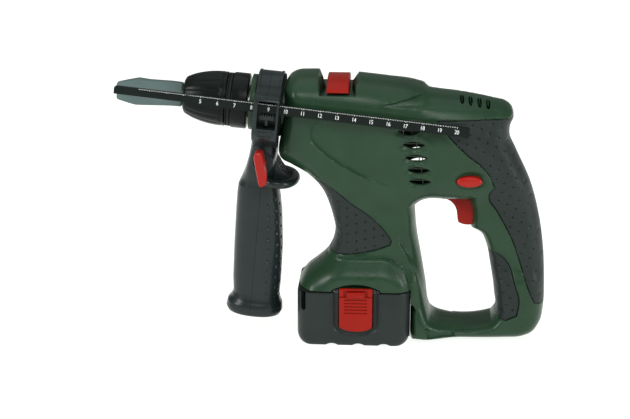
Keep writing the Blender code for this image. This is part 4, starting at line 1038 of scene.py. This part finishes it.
paddle = fillet((
    (-10.7, -1.3), (-9.2, -2.5), (6.6, -2.7), (10.0, -1.9), (10.8, -0.6), (10.5, 1.7), (8.8, 2.6),
    (-6.8, 2.7), (-10.4, 1.2),
), 0.7, 3)
rows = []
for n, long, thick, lean in (
    (20.6, 0.30, 0.9, 0), (21.4, 0.62, 0.94, 0), (22.0, 0.84, 0.96, 0), (23.0, 0.94, 0.98, 0),
    (25.5, 0.98, 0.99, 0), (29.0, 1.0, 1.0, 0), (31.9, 1.0, 1.0, 0), (32.2, 0.995, 0.97, 0),
    (33.6, 0.965, 0.36, 1.25), (33.8, 0.95, 0.26, 1.35),
):
    rows.append([(a * long, n, b * thick + lean) for a, b in paddle])
wing = strip(rows)
stem = slab(ellipse((0, 0), (2.0, 2.0), 32), 2.4, 20.0, plane="XZ")
hub = slab(ellipse((0, 0), (2.5, 2.5), 40), 17.8, 22.6, 0.3, "XZ")
knob = raw("clamp_knob", shifted(tilted(wing, "Y", KNOB_TURN), to_knob), "drill")
carve(knob, [raw("stem", shifted(stem, to_knob), "drill"), raw("hub", shifted(hub, to_knob), "drill")], "UNION")
show(knob, "bright", "knob", ["wing_knob"], 45)

# ---------------------------------------------------------------- rule and pawl
TIP, STEP, END, HALF, TOP = -141.8, -98.5, 66.4, 2.75, 3.3
ZERO = TIP + 0.9
PITCH = 1.5
teeth = []
x = STEP + PITCH
while x + PITCH < END - 2.0:
    teeth += [(x, -HALF), (x + 0.35, -HALF + 0.7), (x + 0.85, -HALF + 0.7), (x + 1.2, -HALF)]
    x += PITCH
outline = [(TIP + 0.4, -1.4), (STEP, -1.4), (STEP, -HALF), *teeth, (END - 0.4, -HALF), (END, -HALF + 0.4),
           (END, TOP - 0.4), (END - 0.4, TOP), (TIP + 1.0, TOP), (TIP, TOP - 1.0), (TIP, -1.0)]
rule = slab(outline, -1.0, 1.0, 0.0, "XZ")
lip = slab(rounded((END - 0.9, -HALF + 0.2), (END - 0.3, TOP - 0.2), 0.1, 3), -1.12, 1.12, plane="XZ")
mark = slab(rounded((STEP - 0.5, -1.2), (STEP + 0.5, TOP - 0.2), 0.1, 3), -1.12, 1.0, plane="XZ")
show(raw("depth_scale", joined(rule, lip, mark), "rule"), "scale", "rule", ["depth_rule"], 30)
marks = []
FACE = -1.0
MARK_HALF = 0.15
MARK_TOP = TOP - 0.15
for mm in range(14, 201):
    left = ZERO + mm
    deep = 0.8 if mm % 10 == 0 else 0.45
    marks.append(box((left - MARK_HALF, FACE - 0.05, MARK_TOP - deep), (left + MARK_HALF, FACE + 0.02, MARK_TOP)))
text_shapes = []
for number in range(5, 21):
    words = bpy.data.curves.new(f"number_{number}", "FONT")
    words.body = str(number)
    words.size = 3.4
    words.align_x = "CENTER"
    words.resolution_u = 3
    words.space_character = 0.92
    made = placed(f"number_{number}", words)
    bpy.context.view_layer.update()
    mesh = bpy.data.meshes.new_from_object(made.evaluated_get(bpy.context.evaluated_depsgraph_get()))
    flat = np.array([v.co for v in mesh.vertices], float)
    flat[:, 0] *= 0.86
    verts = np.stack((flat[:, 0] + ZERO + 10 * number, np.full(len(flat), FACE - 0.04), flat[:, 1] - 1.0), 1)
    text_shapes.append((verts, [list(p.vertices) for p in mesh.polygons]))
    bpy.data.objects.remove(made, do_unlink=True)
show(raw("scale_marks", joined(*marks, *text_shapes), "rule"), "ink", "rule")

head = [(-0.6, 47.6)]
for k in range(6):
    s = 47.9 + k * 1.35
    head += [(-0.6, s), (-2.0, s + 0.3), (-2.0, s + 0.65), (-0.6, s + 0.95)]
head += [(-0.6, 56.0), (1.4, 56.0), (1.4, 47.6)]
pawl = raw("clamp_pawl", slab([(d + 1.0, s) for d, s in head], 27.0, 31.6, plane="XZ"), "drill")
carve(pawl, [raw("stem", box((1.0, 28.2, 51.0), (6.0, 31.2, 52.6), 0.2), "drill")], "UNION")
show(pawl, "satin", "pawl", ["rule_pawl"])

# ---------------------------------------------------------------- CAD pieces that are shown as they are
slots = {s["node"]: s["material_slot"] for s in frame["record"]["subparts"]}
for name, node in frame["nodes"].items():
    if not node.hide_render:
        node.data.materials.clear()
        node.data.materials.append(LOOKS[slots[name]])

# ---------------------------------------------------------------- floor, light and camera
floor_mesh = bpy.data.meshes.new("floor")
floor_mesh.from_pydata([(-4, -4, 0), (4, -4, 0), (4, 4, 0), (-4, 4, 0)], [], [(0, 1, 2, 3)])
floor = placed("floor", floor_mesh)
floor.location.z = -0.0002
paper, _, shader, _ = nodes_of("paper_floor")
shader.inputs["Base Color"].default_value = (0.36, 0.365, 0.36, 1)
shader.inputs["Emission Color"].default_value = (0.97, 1.0, 0.96, 1)
shader.inputs["Emission Strength"].default_value = 0.92
shader.inputs["Roughness"].default_value = 0.9
shader.inputs["Specular IOR Level"].default_value = 0.1
floor_mesh.materials.append(paper)
floor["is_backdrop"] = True

world = bpy.data.worlds.new("studio")
bpy.context.scene.world = world
world.use_nodes = True
world.node_tree.nodes["Background"].inputs["Color"].default_value = (0.97, 1.0, 0.98, 1)
world.node_tree.nodes["Background"].inputs["Strength"].default_value = 0.22


def area_light(name, place, target, size, power):
    data = bpy.data.lights.new(name, "AREA")
    data.shape = "RECTANGLE"
    data.size, data.size_y = size
    data.energy = power
    made = placed(name, data)
    made.location = place
    made.rotation_mode = "QUATERNION"
    made.rotation_quaternion = (Vector(target) - Vector(place)).to_track_quat("-Z", "Y")
    made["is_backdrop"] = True


area_light("top_box", (-0.2, 0.1, 1.5), (0, 0, 0.08), (1.6, 1.3), 5)
area_light("front_box", (0.25, -1.25, 1.15), (0, 0, 0.08), (0.8, 0.6), 8)
area_light("left_box", (-1.2, -0.75, 0.75), (0, 0, 0.08), (0.5, 0.7), 13)
area_light("right_box", (1.15, -0.55, 0.55), (0.05, 0, 0.08), (0.35, 0.9), 9)

camera_data = bpy.data.cameras.new("camera")
camera_data.lens = 88.635
camera_data.sensor_width = 36
camera_data.clip_start, camera_data.clip_end = 0.05, 20
camera = placed("camera", camera_data)
azimuth, elevation, distance = math.radians(3.5), math.radians(17.5), 0.95
back_way = Vector((
    math.sin(azimuth) * math.cos(elevation), -math.cos(azimuth) * math.cos(elevation), math.sin(elevation)))
camera.location = Vector((-0.02538517, 0, 0.07911817)) + back_way * distance
camera.rotation_mode = "QUATERNION"
camera.rotation_quaternion = (-back_way).to_track_quat("-Z", "Y")
bpy.context.scene.camera = camera
bpy.context.scene.view_settings.view_transform = "Standard"

low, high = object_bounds()
